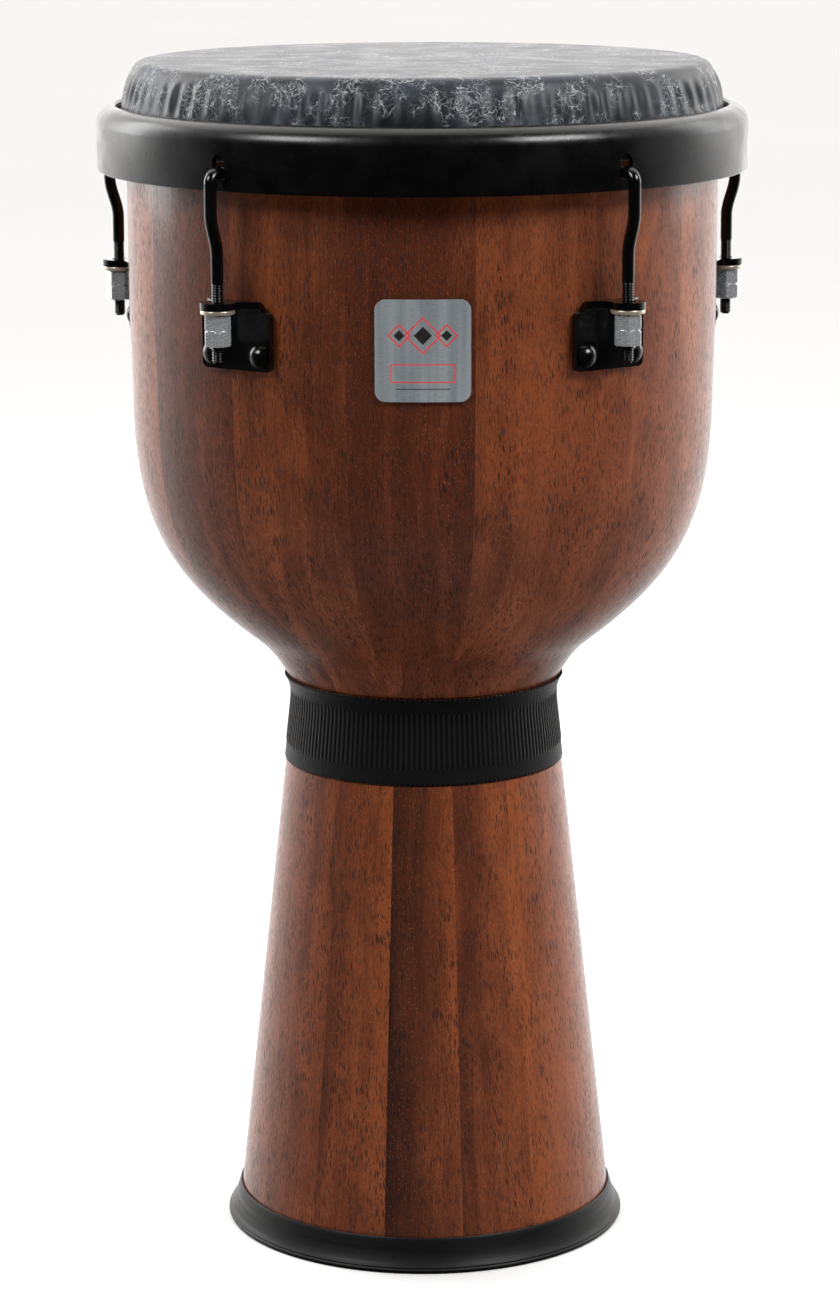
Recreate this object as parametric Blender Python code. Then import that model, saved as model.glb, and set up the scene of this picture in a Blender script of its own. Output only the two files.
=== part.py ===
"""A 12 inch rope-free djembe: a stave-built goblet shell with a hooped head and five tuning lugs.

Metres, +Z up. The origin is where the shell's axis meets the floor. The front, with the badge
centred between two lugs, faces -Y. Lug angles are counted from the front, positive to the right.
"""

from math import asin, cos, pi, radians, sin, sqrt

import bmesh
import bpy
from mathutils import Matrix, Vector
from mathutils.geometry import interpolate_bezier

# ---- driving dimensions -------------------------------------------------------------------

GAP = 0.0003                 # left between pieces that touch on the real drum
ROUND = 50                   # sides of every large turned piece, a multiple of the five lugs
DRILL_SIDES = 12             # sides of every drilled hole

# Shell
SHELL_R = 0.1525             # outer radius of the bowl's upper wall
WALL = 0.0135                # thickness of the bowl's wall
RIM_Z = 0.6203               # top of the bearing edge
WALL_TOP_Z = 0.6030          # where the bearing edge starts to slope in
EDGE_SLOPE = (0.1492, 0.6147)     # radius and height where that slope turns into a round
EDGE_CREST_R = 0.1430        # radius where the round meets the flat top of the rim
NECK_SEAT = 0.0012           # the band's seat is this much smaller than the stem's cone
NECK_FLARE_Z = 0.2850        # above this height the neck flares out towards the belly
NECK_FLARE = 24.0            # by this much times the height above it, squared
NECK_WALL = 0.0136           # wood left round the bore where the neck is narrowest
JOINT_Z = 0.2716             # where the bowl and the stem meet, behind the band
SPIGOT_HEIGHT = 0.0160       # collar on the stem that goes up into the bowl
SPIGOT_WALL = 0.0060
FLARE = (0.0887, 0.3200)     # radius and height where the neck's hollow turns into the belly
FLARE_ANGLE = 37.6           # slope of the outline there, in degrees above the horizontal
BELLY_TOP = (0.1513, 0.4520)      # where the belly has become the upright wall
BELLY_PULL = (0.0610, 0.0674)     # lengths of the two handles of the belly's curve
STEM_FOOT_R = 0.1010         # radius that the stem's cone would have at the floor
STEM_TAPER = 0.109           # radius lost per metre of height
STEM_WALL = 0.0130

# Neck band
BAND_BOTTOM_Z = 0.2535
BAND_TOP_Z = 0.2995
BAND_THICKNESS = 0.0018

# Foot ring
FOOT_R = 0.1067              # radius on the floor
FOOT_LIP = 0.0026            # upright lip at the floor
FOOT_TOP_Z = 0.0175
FOOT_FLOOR = 0.0040          # rubber under the stem
FOOT_INNER_R = 0.0855

# Drumhead and flesh hoop
FILM = 0.0005
HEM_R = 0.1551               # outer radius of the film's upright hem
HEM_TOP_Z = 0.5970
HEM_END_Z = 0.5870
CHANNEL_FLOOR_Z = 0.5800
CHANNEL_INNER = (0.1531, 0.1541)  # inner leg's radii
CHANNEL_OUTER = (0.1558, 0.1632)  # outer leg's radii
CHANNEL_LEG_TOP_Z = 0.5900
CHANNEL_TOP_Z = 0.5935

# Tuning hoop
HOOP_R = 0.1680
HOOP_WALL = 0.0030
HOOP_BOTTOM_Z = 0.5660
HOOP_TOP_Z = 0.5990
HOOP_LIP_R = 0.1578          # inner edge of the flange
HOOP_SHOULDER = 0.0095       # outer radius of the rounded shoulder
SLOT_WIDTH = 0.0076
SLOT_TOP_Z = 0.5840

# Lugs
LUGS = 5
LUG_FIRST = 36.0             # angle of lug 1 from the front
ROD_R = 0.0031
ROD_AXIS_R = 0.1700          # distance of the threaded end from the shell's axis
ROD_REACH_R = 0.1745         # distance of the stretch that passes outside the hoop
HOOK_Z = 0.5752              # middle of the arm that hooks into the hoop
HOOK_TIP_R = 0.1600
HOOK_BEND_R = 0.0050
JOG_TOP_Z = 0.5560
JOG_BOTTOM_Z = 0.5350
ROD_END_Z = 0.4825
PLATE_WIDTH = 0.0420
PLATE_BOTTOM_Z = 0.4778
PLATE_TOP_Z = 0.5070
PLATE_CORNER = 0.0030
SHEET = 0.0034               # steel of the plate and its ear
EAR_TOP_Z = 0.5125
EAR_ROOT_WIDTH = 0.0320
EAR_END_R = 0.0087
EAR_BEND_R = 0.0036          # radius of the bend, at the middle of the sheet
EAR_HOLE_R = 0.0038
WASHER_R = 0.0085
WASHER_HOLE_R = 0.0037
WASHER_HEIGHT = 0.0020
NUT_FLATS = 0.0127
NUT_HEIGHT = 0.0154
NUT_BORE_R = 0.00345
NUT_CHAMFER = 0.0009
NUT_GROOVE = 0.0006          # depth of the turned groove at mid height
NUT_TURNS = (25.0, 11.0, -4.0, 17.0, -21.0)   # how far each nut stands turned, lug by lug
BOLT_SPREAD = 0.0145         # each plate bolt's distance from the lug's middle
BOLT_Z = 0.4853
BOLT_HEAD_R = 0.0055
BOLT_HEAD_HEIGHT = 0.0035
BOLT_R = 0.0025
BOLT_HOLE_R = 0.0030
INNER_WASHER = (0.0060, 0.0012)   # radius and thickness
INNER_NUT = (0.0080, 0.0040)      # distance across the flats and height

# Badge
BADGE_WIDTH = 0.0470
BADGE_HEIGHT = 0.0500
BADGE_CORNER = 0.0053
BADGE_Z = 0.4905
BADGE_SHEET = 0.0008

# ---- materials ----------------------------------------------------------------------------

FINISHES = {
    "shell_wood": ((0.105, 0.030, 0.014), 0.42, 0.0),
    "webbing": ((0.010, 0.010, 0.011), 0.85, 0.0),
    "foot_rubber": ((0.014, 0.014, 0.014), 0.55, 0.0),
    "hoop_black": ((0.009, 0.009, 0.010), 0.38, 0.0),
    "drum_film": ((0.030, 0.036, 0.048), 0.45, 0.0),
    "flesh_alloy": ((0.62, 0.63, 0.65), 0.38, 1.0),
    "badge_plate": ((0.52, 0.55, 0.58), 0.32, 1.0),
    "lug_black": ((0.009, 0.009, 0.010), 0.35, 0.0),
    "rod_black": ((0.008, 0.008, 0.008), 0.18, 0.0),
    "nut_zinc": ((0.72, 0.76, 0.80), 0.25, 1.0),
    "washer_steel": ((0.58, 0.53, 0.45), 0.35, 1.0),
    "bolt_black": ((0.008, 0.008, 0.008), 0.25, 0.0),
    "inner_steel": ((0.55, 0.56, 0.58), 0.35, 1.0),
}


def finish(name):
    """The material of this name, made the first time that it is asked for."""
    material = bpy.data.materials.get(name)
    if material is None:
        colour, roughness, metallic = FINISHES[name]
        material = bpy.data.materials.new(name)
        material.use_nodes = True
        shader = material.node_tree.nodes["Principled BSDF"]
        shader.inputs["Base Color"].default_value = (*colour, 1.0)
        shader.inputs["Roughness"].default_value = roughness
        shader.inputs["Metallic"].default_value = metallic
    return material


# ---- making objects -----------------------------------------------------------------------


def add_object(name, mesh, material):
    """Link a new object that shows this mesh."""
    mesh.materials.clear()
    mesh.materials.append(finish(material))
    thing = bpy.data.objects.new(name, mesh)
    bpy.context.scene.collection.objects.link(thing)
    return thing


def mesh_from(bm, name, smooth_angle=40.0):
    """Close the bmesh into a mesh whose faces point out, smooth but for its sharp edges."""
    bmesh.ops.remove_doubles(bm, verts=bm.verts, dist=1e-6)
    bmesh.ops.recalc_face_normals(bm, faces=bm.faces)
    mesh = bpy.data.meshes.new(name)
    bm.to_mesh(mesh)
    bm.free()
    mesh.shade_smooth()
    mesh.set_sharp_from_angle(angle=radians(smooth_angle))
    return mesh


def turned(name, outline, sides=ROUND, matrix=None):
    """Turn a closed outline of (radius, height) points about the Z axis."""
    bm = bmesh.new()
    points = [bm.verts.new((radius, 0.0, height)) for radius, height in outline]
    pairs = zip(points, points[1:] + points[:1])
    on_axis = 1e-7
    edges = [bm.edges.new(p) for p in pairs if max(p[0].co.x, p[1].co.x) > on_axis]
    bmesh.ops.spin(
        bm,
        geom=points + edges,
        cent=(0, 0, 0),
        axis=(0, 0, 1),
        angle=2 * pi,
        steps=sides,
        use_merge=True,
        use_duplicate=False,
    )
    if matrix is not None:
        bm.transform(matrix)
    return mesh_from(bm, name)


def sheet(name, rungs):
    """A sheet of quads between one rung and the next. A rung is a list of points."""
    bm = bmesh.new()
    rows = [[bm.verts.new(point) for point in rung] for rung in rungs]
    for low, high in zip(rows, rows[1:]):
        for i in range(len(low) - 1):
            bm.faces.new((low[i], low[i + 1], high[i + 1], high[i]))
    bmesh.ops.remove_doubles(bm, verts=bm.verts, dist=1e-6)
    mesh = bpy.data.meshes.new(name)
    bm.to_mesh(mesh)
    bm.free()
    return mesh


def cutters(name, places):
    """One hidden helper of cylinders, each given by its radius, its length and a matrix."""
    bm = bmesh.new()
    for radius, length, matrix in places:
        bmesh.ops.create_cone(
            bm,
            cap_ends=True,
            segments=DRILL_SIDES,
            radius1=radius,
            radius2=radius,
            depth=length,
            matrix=matrix,
        )
    mesh = bpy.data.meshes.new(name)
    bm.to_mesh(mesh)
    bm.free()
    return hide(add_object(name, mesh, "inner_steel"))


def hide(helper):
    helper.hide_render = True
    helper.display_type = "WIRE"
    return helper


def cut(thing, helper):
    boolean = thing.modifiers.new("cut", "BOOLEAN")
    boolean.operation = "DIFFERENCE"
    boolean.solver = "EXACT"
    boolean.object = helper


def thicken(thing, thickness):
    solid = thing.modifiers.new("thickness", "SOLIDIFY")
    solid.thickness = thickness
    solid.offset = 0.0
    solid.use_even_offset = True


def evaluated_mesh(thing, name):
    """The mesh that the object's modifiers make, for sharing between several objects."""
    graph = bpy.context.evaluated_depsgraph_get()
    mesh = bpy.data.meshes.new_from_object(thing.evaluated_get(graph))
    mesh.name = name
    mesh.shade_smooth()
    mesh.set_sharp_from_angle(angle=radians(40.0))
    return mesh


def arc(centre, radius, start, end, steps):
    """Points on an arc, as (radius, height) pairs. The angles are in degrees above +X."""
    angles = [radians(start + (end - start) * i / steps) for i in range(steps + 1)]
    return [(centre[0] + radius * cos(a), centre[1] + radius * sin(a)) for a in angles]


def bezier(start, handle, other_handle, end, steps):
    knots = [Vector((*point, 0.0)) for point in (start, handle, other_handle, end)]
    return [(p.x, p.y) for p in interpolate_bezier(*knots, steps + 1)]


def stand(name, angle, radius=0.0):
    """An empty at this angle from the front: its X axis points out and its Y axis to the right."""
    empty = bpy.data.objects.new(name, None)
    turn = radians(angle - 90.0)
    empty.location = (radius * cos(turn), radius * sin(turn), 0.0)
    empty.rotation_euler = (0.0, 0.0, turn)
    empty.empty_display_size = 0.02
    bpy.context.scene.collection.objects.link(empty)
    return empty


# ---- shell --------------------------------------------------------------------------------


def stem_radius(height):
    return STEM_FOOT_R - STEM_TAPER * height


def neck_radius(height):
    """Outer radius of the wood behind the neck band: the stem's cone, then a flare."""
    return stem_radius(height) - NECK_SEAT + NECK_FLARE * max(0.0, height - NECK_FLARE_Z) ** 2


def along(start, end, steps):
    return [start + (end - start) * i / steps for i in range(steps + 1)]


def neck_heights(start):
    """Heights up the neck from start: straight as far as the flare, then close together."""
    return [start, *along(NECK_FLARE_Z, BAND_TOP_Z, 3)]


BORE_R = neck_radius(NECK_FLARE_Z) - NECK_WALL


def bowl_outline():
    """From the joint up the outside, over the bearing edge and down the inside."""
    behind_band = [(neck_radius(z), z) for z in neck_heights(JOINT_Z)]
    slope = radians(FLARE_ANGLE)
    pull = Vector((cos(slope), sin(slope)))
    flare = Vector(FLARE)
    neck = bezier(
        behind_band[-1],
        (behind_band[-1][0] + 0.0032, BAND_TOP_Z + 0.0055),
        flare - pull * 0.010,
        FLARE,
        3,
    )
    belly = bezier(
        FLARE,
        flare + pull * BELLY_PULL[0],
        (BELLY_TOP[0], BELLY_TOP[1] - BELLY_PULL[1]),
        BELLY_TOP,
        6,
    )
    edge_round = bezier(
        EDGE_SLOPE,
        (EDGE_SLOPE[0] - 0.0011, EDGE_SLOPE[1] + 0.0038),
        (EDGE_CREST_R + 0.0030, RIM_Z),
        (EDGE_CREST_R, RIM_Z),
        3,
    )
    inner_r = SHELL_R - WALL
    inner_neck = (BORE_R, NECK_FLARE_Z + 0.023)
    inside = bezier(
        (inner_r, BELLY_TOP[1]),
        (inner_r, BELLY_TOP[1] - 0.055),
        (inner_neck[0] + 0.020, inner_neck[1] + 0.010),
        inner_neck,
        5,
    )
    socket_r = BORE_R + SPIGOT_WALL + GAP
    socket_z = JOINT_Z + SPIGOT_HEIGHT + GAP
    return (
        behind_band[:-1]
        + neck[:-1]
        + belly
        + [(SHELL_R, BELLY_TOP[1] + 0.050), (SHELL_R, WALL_TOP_Z)]
        + edge_round
        + [(inner_r + 0.0015, RIM_Z), (inner_r, RIM_Z - 0.0015)]
        + inside
        + [(BORE_R, socket_z), (socket_r, socket_z), (socket_r, JOINT_Z)]
    )


def stem_outline():
    """From the foot up the outside, over the spigot and down the inside."""
    foot_z = FOOT_FLOOR + GAP
    seat_z = BAND_BOTTOM_Z - GAP
    joint_z = JOINT_Z - GAP
    behind_band = [(neck_radius(z), z) for z in (seat_z, joint_z)]
    spigot_r = BORE_R + SPIGOT_WALL
    top_z = JOINT_Z + SPIGOT_HEIGHT
    return (
        [(stem_radius(foot_z), foot_z), (stem_radius(seat_z), seat_z)]
        + behind_band
        + [(spigot_r, joint_z), (spigot_r, top_z), (BORE_R, top_z)]
        + [(BORE_R, BAND_BOTTOM_Z), (stem_radius(foot_z) - STEM_WALL, foot_z)]
    )


def band_outline():
    """The webbing lies in its seat round the neck, GAP clear of the wood."""
    lift = GAP + BAND_THICKNESS
    heights = neck_heights(BAND_BOTTOM_Z)
    outside = [(neck_radius(z) + lift, z) for z in heights]
    inside = [(neck_radius(z) + GAP, z) for z in reversed(heights)]
    return outside + inside


def foot_outline():
    """A rubber ring that cups the end of the stem."""
    rest = FOOT_FLOOR
    top_in = stem_radius(FOOT_TOP_Z) + GAP
    outer_top = top_in + 0.0010
    hollow = bezier(
        (FOOT_R, FOOT_LIP),
        (FOOT_R - 0.0035, FOOT_LIP + 0.0030),
        (outer_top + 0.0015, FOOT_TOP_Z - 0.0060),
        (outer_top, FOOT_TOP_Z),
        3,
    )
    return (
        [(FOOT_INNER_R, 0.0), (FOOT_R - 0.0006, 0.0), (FOOT_R, 0.0006)]
        + hollow
        + [(top_in, FOOT_TOP_Z - 0.0004), (stem_radius(rest) + GAP, rest)]
        + [(FOOT_INNER_R, rest)]
    )


def lug_angles():
    return [LUG_FIRST + i * 360.0 / LUGS for i in range(LUGS)]


def outward(angle, height, spread=0.0, distance=0.0):
    """The matrix of a thing whose Z axis points out of the shell, square to a lug's plate."""
    turn = Matrix.Rotation(radians(angle - 90.0), 4, "Z")
    place = Matrix.Translation((distance, spread, height))
    return turn @ place @ Matrix.Rotation(pi / 2, 4, "Y")


def add_shell():
    bowl = add_object("bowl", turned("bowl", bowl_outline()), "shell_wood")
    holes = [
        (BOLT_HOLE_R, 0.04, outward(angle, BOLT_Z, side * BOLT_SPREAD, SHELL_R - WALL / 2))
        for angle in lug_angles()
        for side in (-1, 1)
    ]
    cut(bowl, cutters("bolt_hole_cutter", holes))
    add_object("stem", turned("stem", stem_outline()), "shell_wood")
    add_object("neck_band", turned("neck_band", band_outline()), "webbing")
    add_object("foot_ring", turned("foot_ring", foot_outline()), "foot_rubber")


# ---- drumhead and hoops -------------------------------------------------------------------


def head_outline():
    """A flat film that rolls over the bearing edge and hangs down into the flesh hoop."""
    lift = GAP + FILM
    top_z = RIM_Z + lift
    slope = Vector((HEM_R - FILM - EDGE_SLOPE[0], HEM_TOP_Z - EDGE_SLOPE[1])).normalized()
    side = Vector((-slope.y, slope.x))
    shoulder = Vector(EDGE_SLOPE)

    def roll(offset, height):
        start = shoulder + side * offset
        return bezier(
            start,
            start - slope * 0.0040,
            (EDGE_CREST_R + 0.0032, height),
            (EDGE_CREST_R, height),
            3,
        )

    outside = roll(lift, top_z)
    inside = roll(GAP, top_z - FILM)
    return (
        [(0.0, top_z - FILM), *reversed(inside)]
        + [(HEM_R - FILM, HEM_TOP_Z), (HEM_R - FILM, HEM_END_Z), (HEM_R, HEM_END_Z)]
        + [(HEM_R, HEM_TOP_Z), *outside, (0.0, top_z)]
    )


def flesh_hoop_outline():
    """A channel that is open at the top, with a thick outer leg that the tuning hoop pushes on."""
    inner, inner_side = CHANNEL_INNER
    outer_side, outer = CHANNEL_OUTER
    web_z = CHANNEL_FLOOR_Z + 0.0012
    return [
        (inner, CHANNEL_FLOOR_Z),
        (outer, CHANNEL_FLOOR_Z),
        (outer, CHANNEL_TOP_Z - 0.0020),
        (outer - 0.0028, CHANNEL_TOP_Z),
        (outer_side, CHANNEL_TOP_Z),
        (outer_side, web_z),
        (inner_side, web_z),
        (inner_side, CHANNEL_LEG_TOP_Z),
        (inner, CHANNEL_LEG_TOP_Z),
    ]


def hoop_outline():
    """An upright wall with a rounded shoulder and a short flange over the flesh hoop."""
    middle = (HOOP_R - HOOP_SHOULDER, HOOP_TOP_Z - HOOP_SHOULDER)
    corner = 0.0012
    shoulder = arc(middle, HOOP_SHOULDER, 0.0, 90.0, 4)
    under = arc(middle, HOOP_SHOULDER - HOOP_WALL, 90.0, 0.0, 2)
    return (
        [(HOOP_R - corner, HOOP_BOTTOM_Z), (HOOP_R, HOOP_BOTTOM_Z + corner)]
        + shoulder
        + [(HOOP_LIP_R, HOOP_TOP_Z - 0.0003), (HOOP_LIP_R, HOOP_TOP_Z - HOOP_WALL)]
        + under
        + [(HOOP_R - HOOP_WALL, HOOP_BOTTOM_Z)]
    )


def slot_cutter():
    """Five arched slots: square at the bottom, round at the top."""
    bottom = HOOK_Z - ROD_R - GAP
    half = SLOT_WIDTH / 2
    crown = SLOT_TOP_Z - half
    outline = [(half, bottom)] + arc((0.0, crown), half, 0.0, 180.0, 8) + [(-half, bottom)]
    bm = bmesh.new()
    for angle in lug_angles():
        turn = Matrix.Rotation(radians(angle - 90.0), 4, "Z")
        near = HOOP_R - 3 * HOOP_WALL
        face = bm.faces.new([bm.verts.new(turn @ Vector((near, y, z))) for y, z in outline])
        grown = bmesh.ops.extrude_face_region(bm, geom=[face])
        moved = [v for v in grown["geom"] if isinstance(v, bmesh.types.BMVert)]
        bmesh.ops.translate(bm, verts=moved, vec=turn @ Vector((6 * HOOP_WALL, 0.0, 0.0)))
    return hide(add_object("slot_cutter", mesh_from(bm, "slot_cutter"), "inner_steel"))


def add_head():
    add_object("drumhead", turned("drumhead", head_outline()), "drum_film")
    add_object("flesh_hoop", turned("flesh_hoop", flesh_hoop_outline()), "flesh_alloy")
    hoop = add_object("tuning_hoop", turned("tuning_hoop", hoop_outline()), "hoop_black")
    cut(hoop, slot_cutter())


# ---- lugs ---------------------------------------------------------------------------------


def plate_rungs():
    """Rungs up the plate, round the bend and out along the ear, which ends round the rod.

    X points out from the rod's axis, Y along the plate and Z up.
    """
    half = PLATE_WIDTH / 2
    plate_x = SHELL_R + GAP + SHEET / 2 - ROD_AXIS_R
    ear_z = EAR_TOP_Z - SHEET / 2
    root = EAR_ROOT_WIDTH / 2
    corner = [radians(a) for a in (0, 30, 60, 90)]
    flat = half - PLATE_CORNER

    def rung(x, z, width):
        return [Vector((x, -width, z)), Vector((x, width, z))]

    rungs = [
        rung(plate_x, PLATE_BOTTOM_Z + PLATE_CORNER * (1 - cos(a)), flat + PLATE_CORNER * sin(a))
        for a in corner
    ]
    rungs += [
        rung(plate_x, PLATE_TOP_Z - PLATE_CORNER * (1 - cos(a)), flat + PLATE_CORNER * sin(a))
        for a in reversed(corner)
    ]
    middle = (plate_x + EAR_BEND_R, ear_z - EAR_BEND_R)
    rungs += [rung(x, z, root) for x, z in arc(middle, EAR_BEND_R, 180.0, 90.0, 4)]
    lean = asin((root - EAR_END_R) / -middle[0])
    rungs += [
        rung(EAR_END_R * sin(a), ear_z, EAR_END_R * cos(a))
        for a in along(-lean, pi / 2, 6)
    ]
    return rungs


def lug_plate_mesh():
    """The bent plate with its three holes."""
    blank = add_object("lug_plate_blank", sheet("lug_plate_blank", plate_rungs()), "lug_black")
    thicken(blank, SHEET)
    plate_x = SHELL_R + GAP + SHEET / 2 - ROD_AXIS_R
    side = Matrix.Rotation(pi / 2, 4, "Y")
    places = [(EAR_HOLE_R, 3 * SHEET, Matrix.Translation((0.0, 0.0, EAR_TOP_Z - SHEET / 2)))]
    for spread in (-BOLT_SPREAD, BOLT_SPREAD):
        places.append((BOLT_HOLE_R, 3 * SHEET, Matrix.Translation((plate_x, spread, BOLT_Z)) @ side))
    holes = cutters("lug_hole_cutter", places)
    cut(blank, holes)
    mesh = evaluated_mesh(blank, "lug_plate")
    bpy.data.objects.remove(blank)
    bpy.data.objects.remove(holes)
    return mesh


def hook_route():
    """The rod's middle line, as (distance from the rod's axis, height) points."""
    reach = ROD_REACH_R - ROD_AXIS_R
    bend = arc((reach - HOOK_BEND_R, HOOK_Z - HOOK_BEND_R), HOOK_BEND_R, 90.0, 0.0, 4)
    jog = [
        (reach * (1 + cos(pi * t)) / 2, JOG_TOP_Z + (JOG_BOTTOM_Z - JOG_TOP_Z) * t)
        for t in along(0.0, 1.0, 5)
    ]
    return [(HOOK_TIP_R - ROD_AXIS_R, HOOK_Z), *bend, *jog, (0.0, ROD_END_Z)]


def hook_mesh():
    curve = bpy.data.curves.new("tuning_hook", "CURVE")
    curve.dimensions = "3D"
    curve.twist_mode = "MINIMUM"
    curve.bevel_depth = ROD_R
    curve.bevel_resolution = 2
    curve.use_fill_caps = True
    route = hook_route()
    spline = curve.splines.new("POLY")
    spline.points.add(len(route) - 1)
    for point, (x, z) in zip(spline.points, route):
        point.co = (x, 0.0, z, 1.0)
    rod = bpy.data.objects.new("tuning_hook_curve", curve)
    bpy.context.scene.collection.objects.link(rod)
    bpy.context.view_layer.update()
    mesh = evaluated_mesh(rod, "tuning_hook")
    bpy.data.objects.remove(rod)
    bm = bmesh.new()
    bm.from_mesh(mesh)
    return mesh_from(bm, "tuning_hook", 50.0)


def ring_outline(inner, outer, bottom, top):
    return [(inner, bottom), (outer, bottom), (outer, top), (inner, top)]


def hex_blank(name, flats, height, groove=0.0, chamfer=0.0):
    """A hexagonal prism that stands on Z = 0, with chamfered ends and a groove at mid height."""
    corner = flats / 2 / cos(pi / 6)
    middle = height / 2
    outline = [(0.0, 0.0), (corner - chamfer, 0.0)]
    if chamfer:
        outline.append((corner, chamfer * 0.6))
    if groove:
        outline += [
            (corner, middle - groove),
            (corner - groove, middle),
            (corner, middle + groove),
        ]
    if chamfer:
        outline.append((corner, height - chamfer * 0.6))
    outline += [(corner - chamfer, height), (0.0, height)]
    return turned(name, outline, sides=6)


def bored_hex(name, flats, height, bore, groove=0.0, chamfer=0.0):
    blank = add_object(name, hex_blank(name, flats, height, groove, chamfer), "inner_steel")
    drill = cutters(name + "_drill", [(bore, 3 * height, Matrix.Translation((0, 0, height / 2)))])
    cut(blank, drill)
    bpy.context.view_layer.update()
    mesh = evaluated_mesh(blank, name)
    bpy.data.objects.remove(blank)
    bpy.data.objects.remove(drill)
    return mesh


def bolt_outline(shank_length):
    """A domed head on a plain shank, which runs down from Z = 0."""
    swell = (BOLT_HEAD_R**2 + BOLT_HEAD_HEIGHT**2) / (2 * BOLT_HEAD_HEIGHT)
    brow = BOLT_HEAD_R * 0.62
    brow_z = BOLT_HEAD_HEIGHT - swell + sqrt(swell**2 - brow**2)
    return [
        (0.0, -shank_length),
        (BOLT_R, -shank_length),
        (BOLT_R, 0.0),
        (BOLT_HEAD_R, 0.0),
        (BOLT_HEAD_R * 0.93, BOLT_HEAD_HEIGHT * 0.36),
        (brow, brow_z),
        (0.0, BOLT_HEAD_HEIGHT),
    ]


def share(name, mesh, material, parent=None, matrix=None):
    """Another object that shows a shared mesh."""
    thing = bpy.data.objects.new(name, mesh)
    if not mesh.materials:
        mesh.materials.append(None)
    mesh.materials[0] = finish(material)
    bpy.context.scene.collection.objects.link(thing)
    if parent is not None:
        thing.parent = parent
    if matrix is not None:
        thing.matrix_local = matrix
    return thing


def add_lugs():
    plate = lug_plate_mesh()
    hook = hook_mesh()
    washer_z = EAR_TOP_Z - SHEET - GAP - WASHER_HEIGHT
    washer = turned(
        "nut_washer",
        ring_outline(WASHER_HOLE_R, WASHER_R, 0.0, WASHER_HEIGHT),
        sides=16,
    )
    nut = bored_hex("tuning_nut", NUT_FLATS, NUT_HEIGHT, NUT_BORE_R, NUT_GROOVE, NUT_CHAMFER)
    nut_z = washer_z - GAP - NUT_HEIGHT

    head_x = SHELL_R + SHEET + 2 * GAP
    inner_face = sqrt((SHELL_R - WALL) ** 2 - (BOLT_SPREAD + INNER_WASHER[0]) ** 2)
    inner_washer_x = inner_face * cos(pi / ROUND) - GAP - INNER_WASHER[1]
    inner_nut_x = inner_washer_x - GAP - INNER_NUT[1]
    bolt = turned("plate_bolt", bolt_outline(head_x - inner_nut_x + 0.0015), sides=12)
    bolt_washer = turned(
        "bolt_washer",
        ring_outline(BOLT_HOLE_R, INNER_WASHER[0], 0.0, INNER_WASHER[1]),
        sides=12,
    )
    bolt_nut = bored_hex("bolt_nut", INNER_NUT[0], INNER_NUT[1], BOLT_HOLE_R)

    for number, angle in enumerate(lug_angles(), 1):
        frame = stand(f"lug_{number}_frame", angle, ROD_AXIS_R)
        share(f"lug_plate_{number}", plate, "lug_black", frame)
        share(f"tuning_hook_{number}", hook, "rod_black", frame)
        at_washer = Matrix.Translation((0.0, 0.0, washer_z))
        share(f"nut_washer_{number}", washer, "washer_steel", frame, at_washer)
        turn = Matrix.Rotation(radians(NUT_TURNS[number - 1]), 4, "Z")
        at_nut = Matrix.Translation((0.0, 0.0, nut_z)) @ turn
        share(f"tuning_nut_{number}", nut, "nut_zinc", frame, at_nut)
        for side, spread in (("left", -BOLT_SPREAD), ("right", BOLT_SPREAD)):
            tag = f"{number}_{side}"
            places = (
                ("plate_bolt", bolt, "bolt_black", head_x),
                ("bolt_washer", bolt_washer, "inner_steel", inner_washer_x),
                ("bolt_nut", bolt_nut, "inner_steel", inner_nut_x),
            )
            for name, mesh, material, distance in places:
                place = outward(angle, BOLT_Z, spread, distance)
                share(f"{name}_{tag}", mesh, material, None, place)


# ---- badge --------------------------------------------------------------------------------


def add_badge():
    """A thin plate with round corners, bent to the shell."""
    radius = SHELL_R + GAP + BADGE_SHEET / 2
    half = BADGE_WIDTH / 2
    tall = BADGE_HEIGHT / 2
    quarter = [radians(a) for a in (0, 22.5, 45, 67.5, 90)]
    left = [
        (-half + BADGE_CORNER * (1 - cos(a)), tall - BADGE_CORNER * (1 - sin(a))) for a in quarter
    ]
    flat = half - BADGE_CORNER
    middle = [(flat * k / 3, tall) for k in (-2, -1, 0, 1, 2)]
    right = [(-across, up) for across, up in reversed(left)]
    rungs = []
    for across, up in left + middle + right:
        turn = across / radius - pi / 2
        x, y = radius * cos(turn), radius * sin(turn)
        rungs.append([Vector((x, y, BADGE_Z - up)), Vector((x, y, BADGE_Z + up))])
    badge = add_object("badge", sheet("badge", rungs), "badge_plate")
    thicken(badge, BADGE_SHEET)


def main():
    for thing in list(bpy.data.objects):
        bpy.data.objects.remove(thing)
    add_shell()
    add_head()
    add_lugs()
    add_badge()


main()
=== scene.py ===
"""Looks of the djembe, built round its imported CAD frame.

Metres, +Z up: the shell's axis is Z and the front, with the badge, faces -Y. Angles round the
shell are in degrees from the front, positive to the right, as the CAD part counts its lugs.
"""

import random
from math import asin, cos, pi, radians, sin, sqrt

import bmesh
import bpy
import numpy as np
from mathutils import Matrix, Vector
from mathutils.geometry import interpolate_bezier


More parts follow.
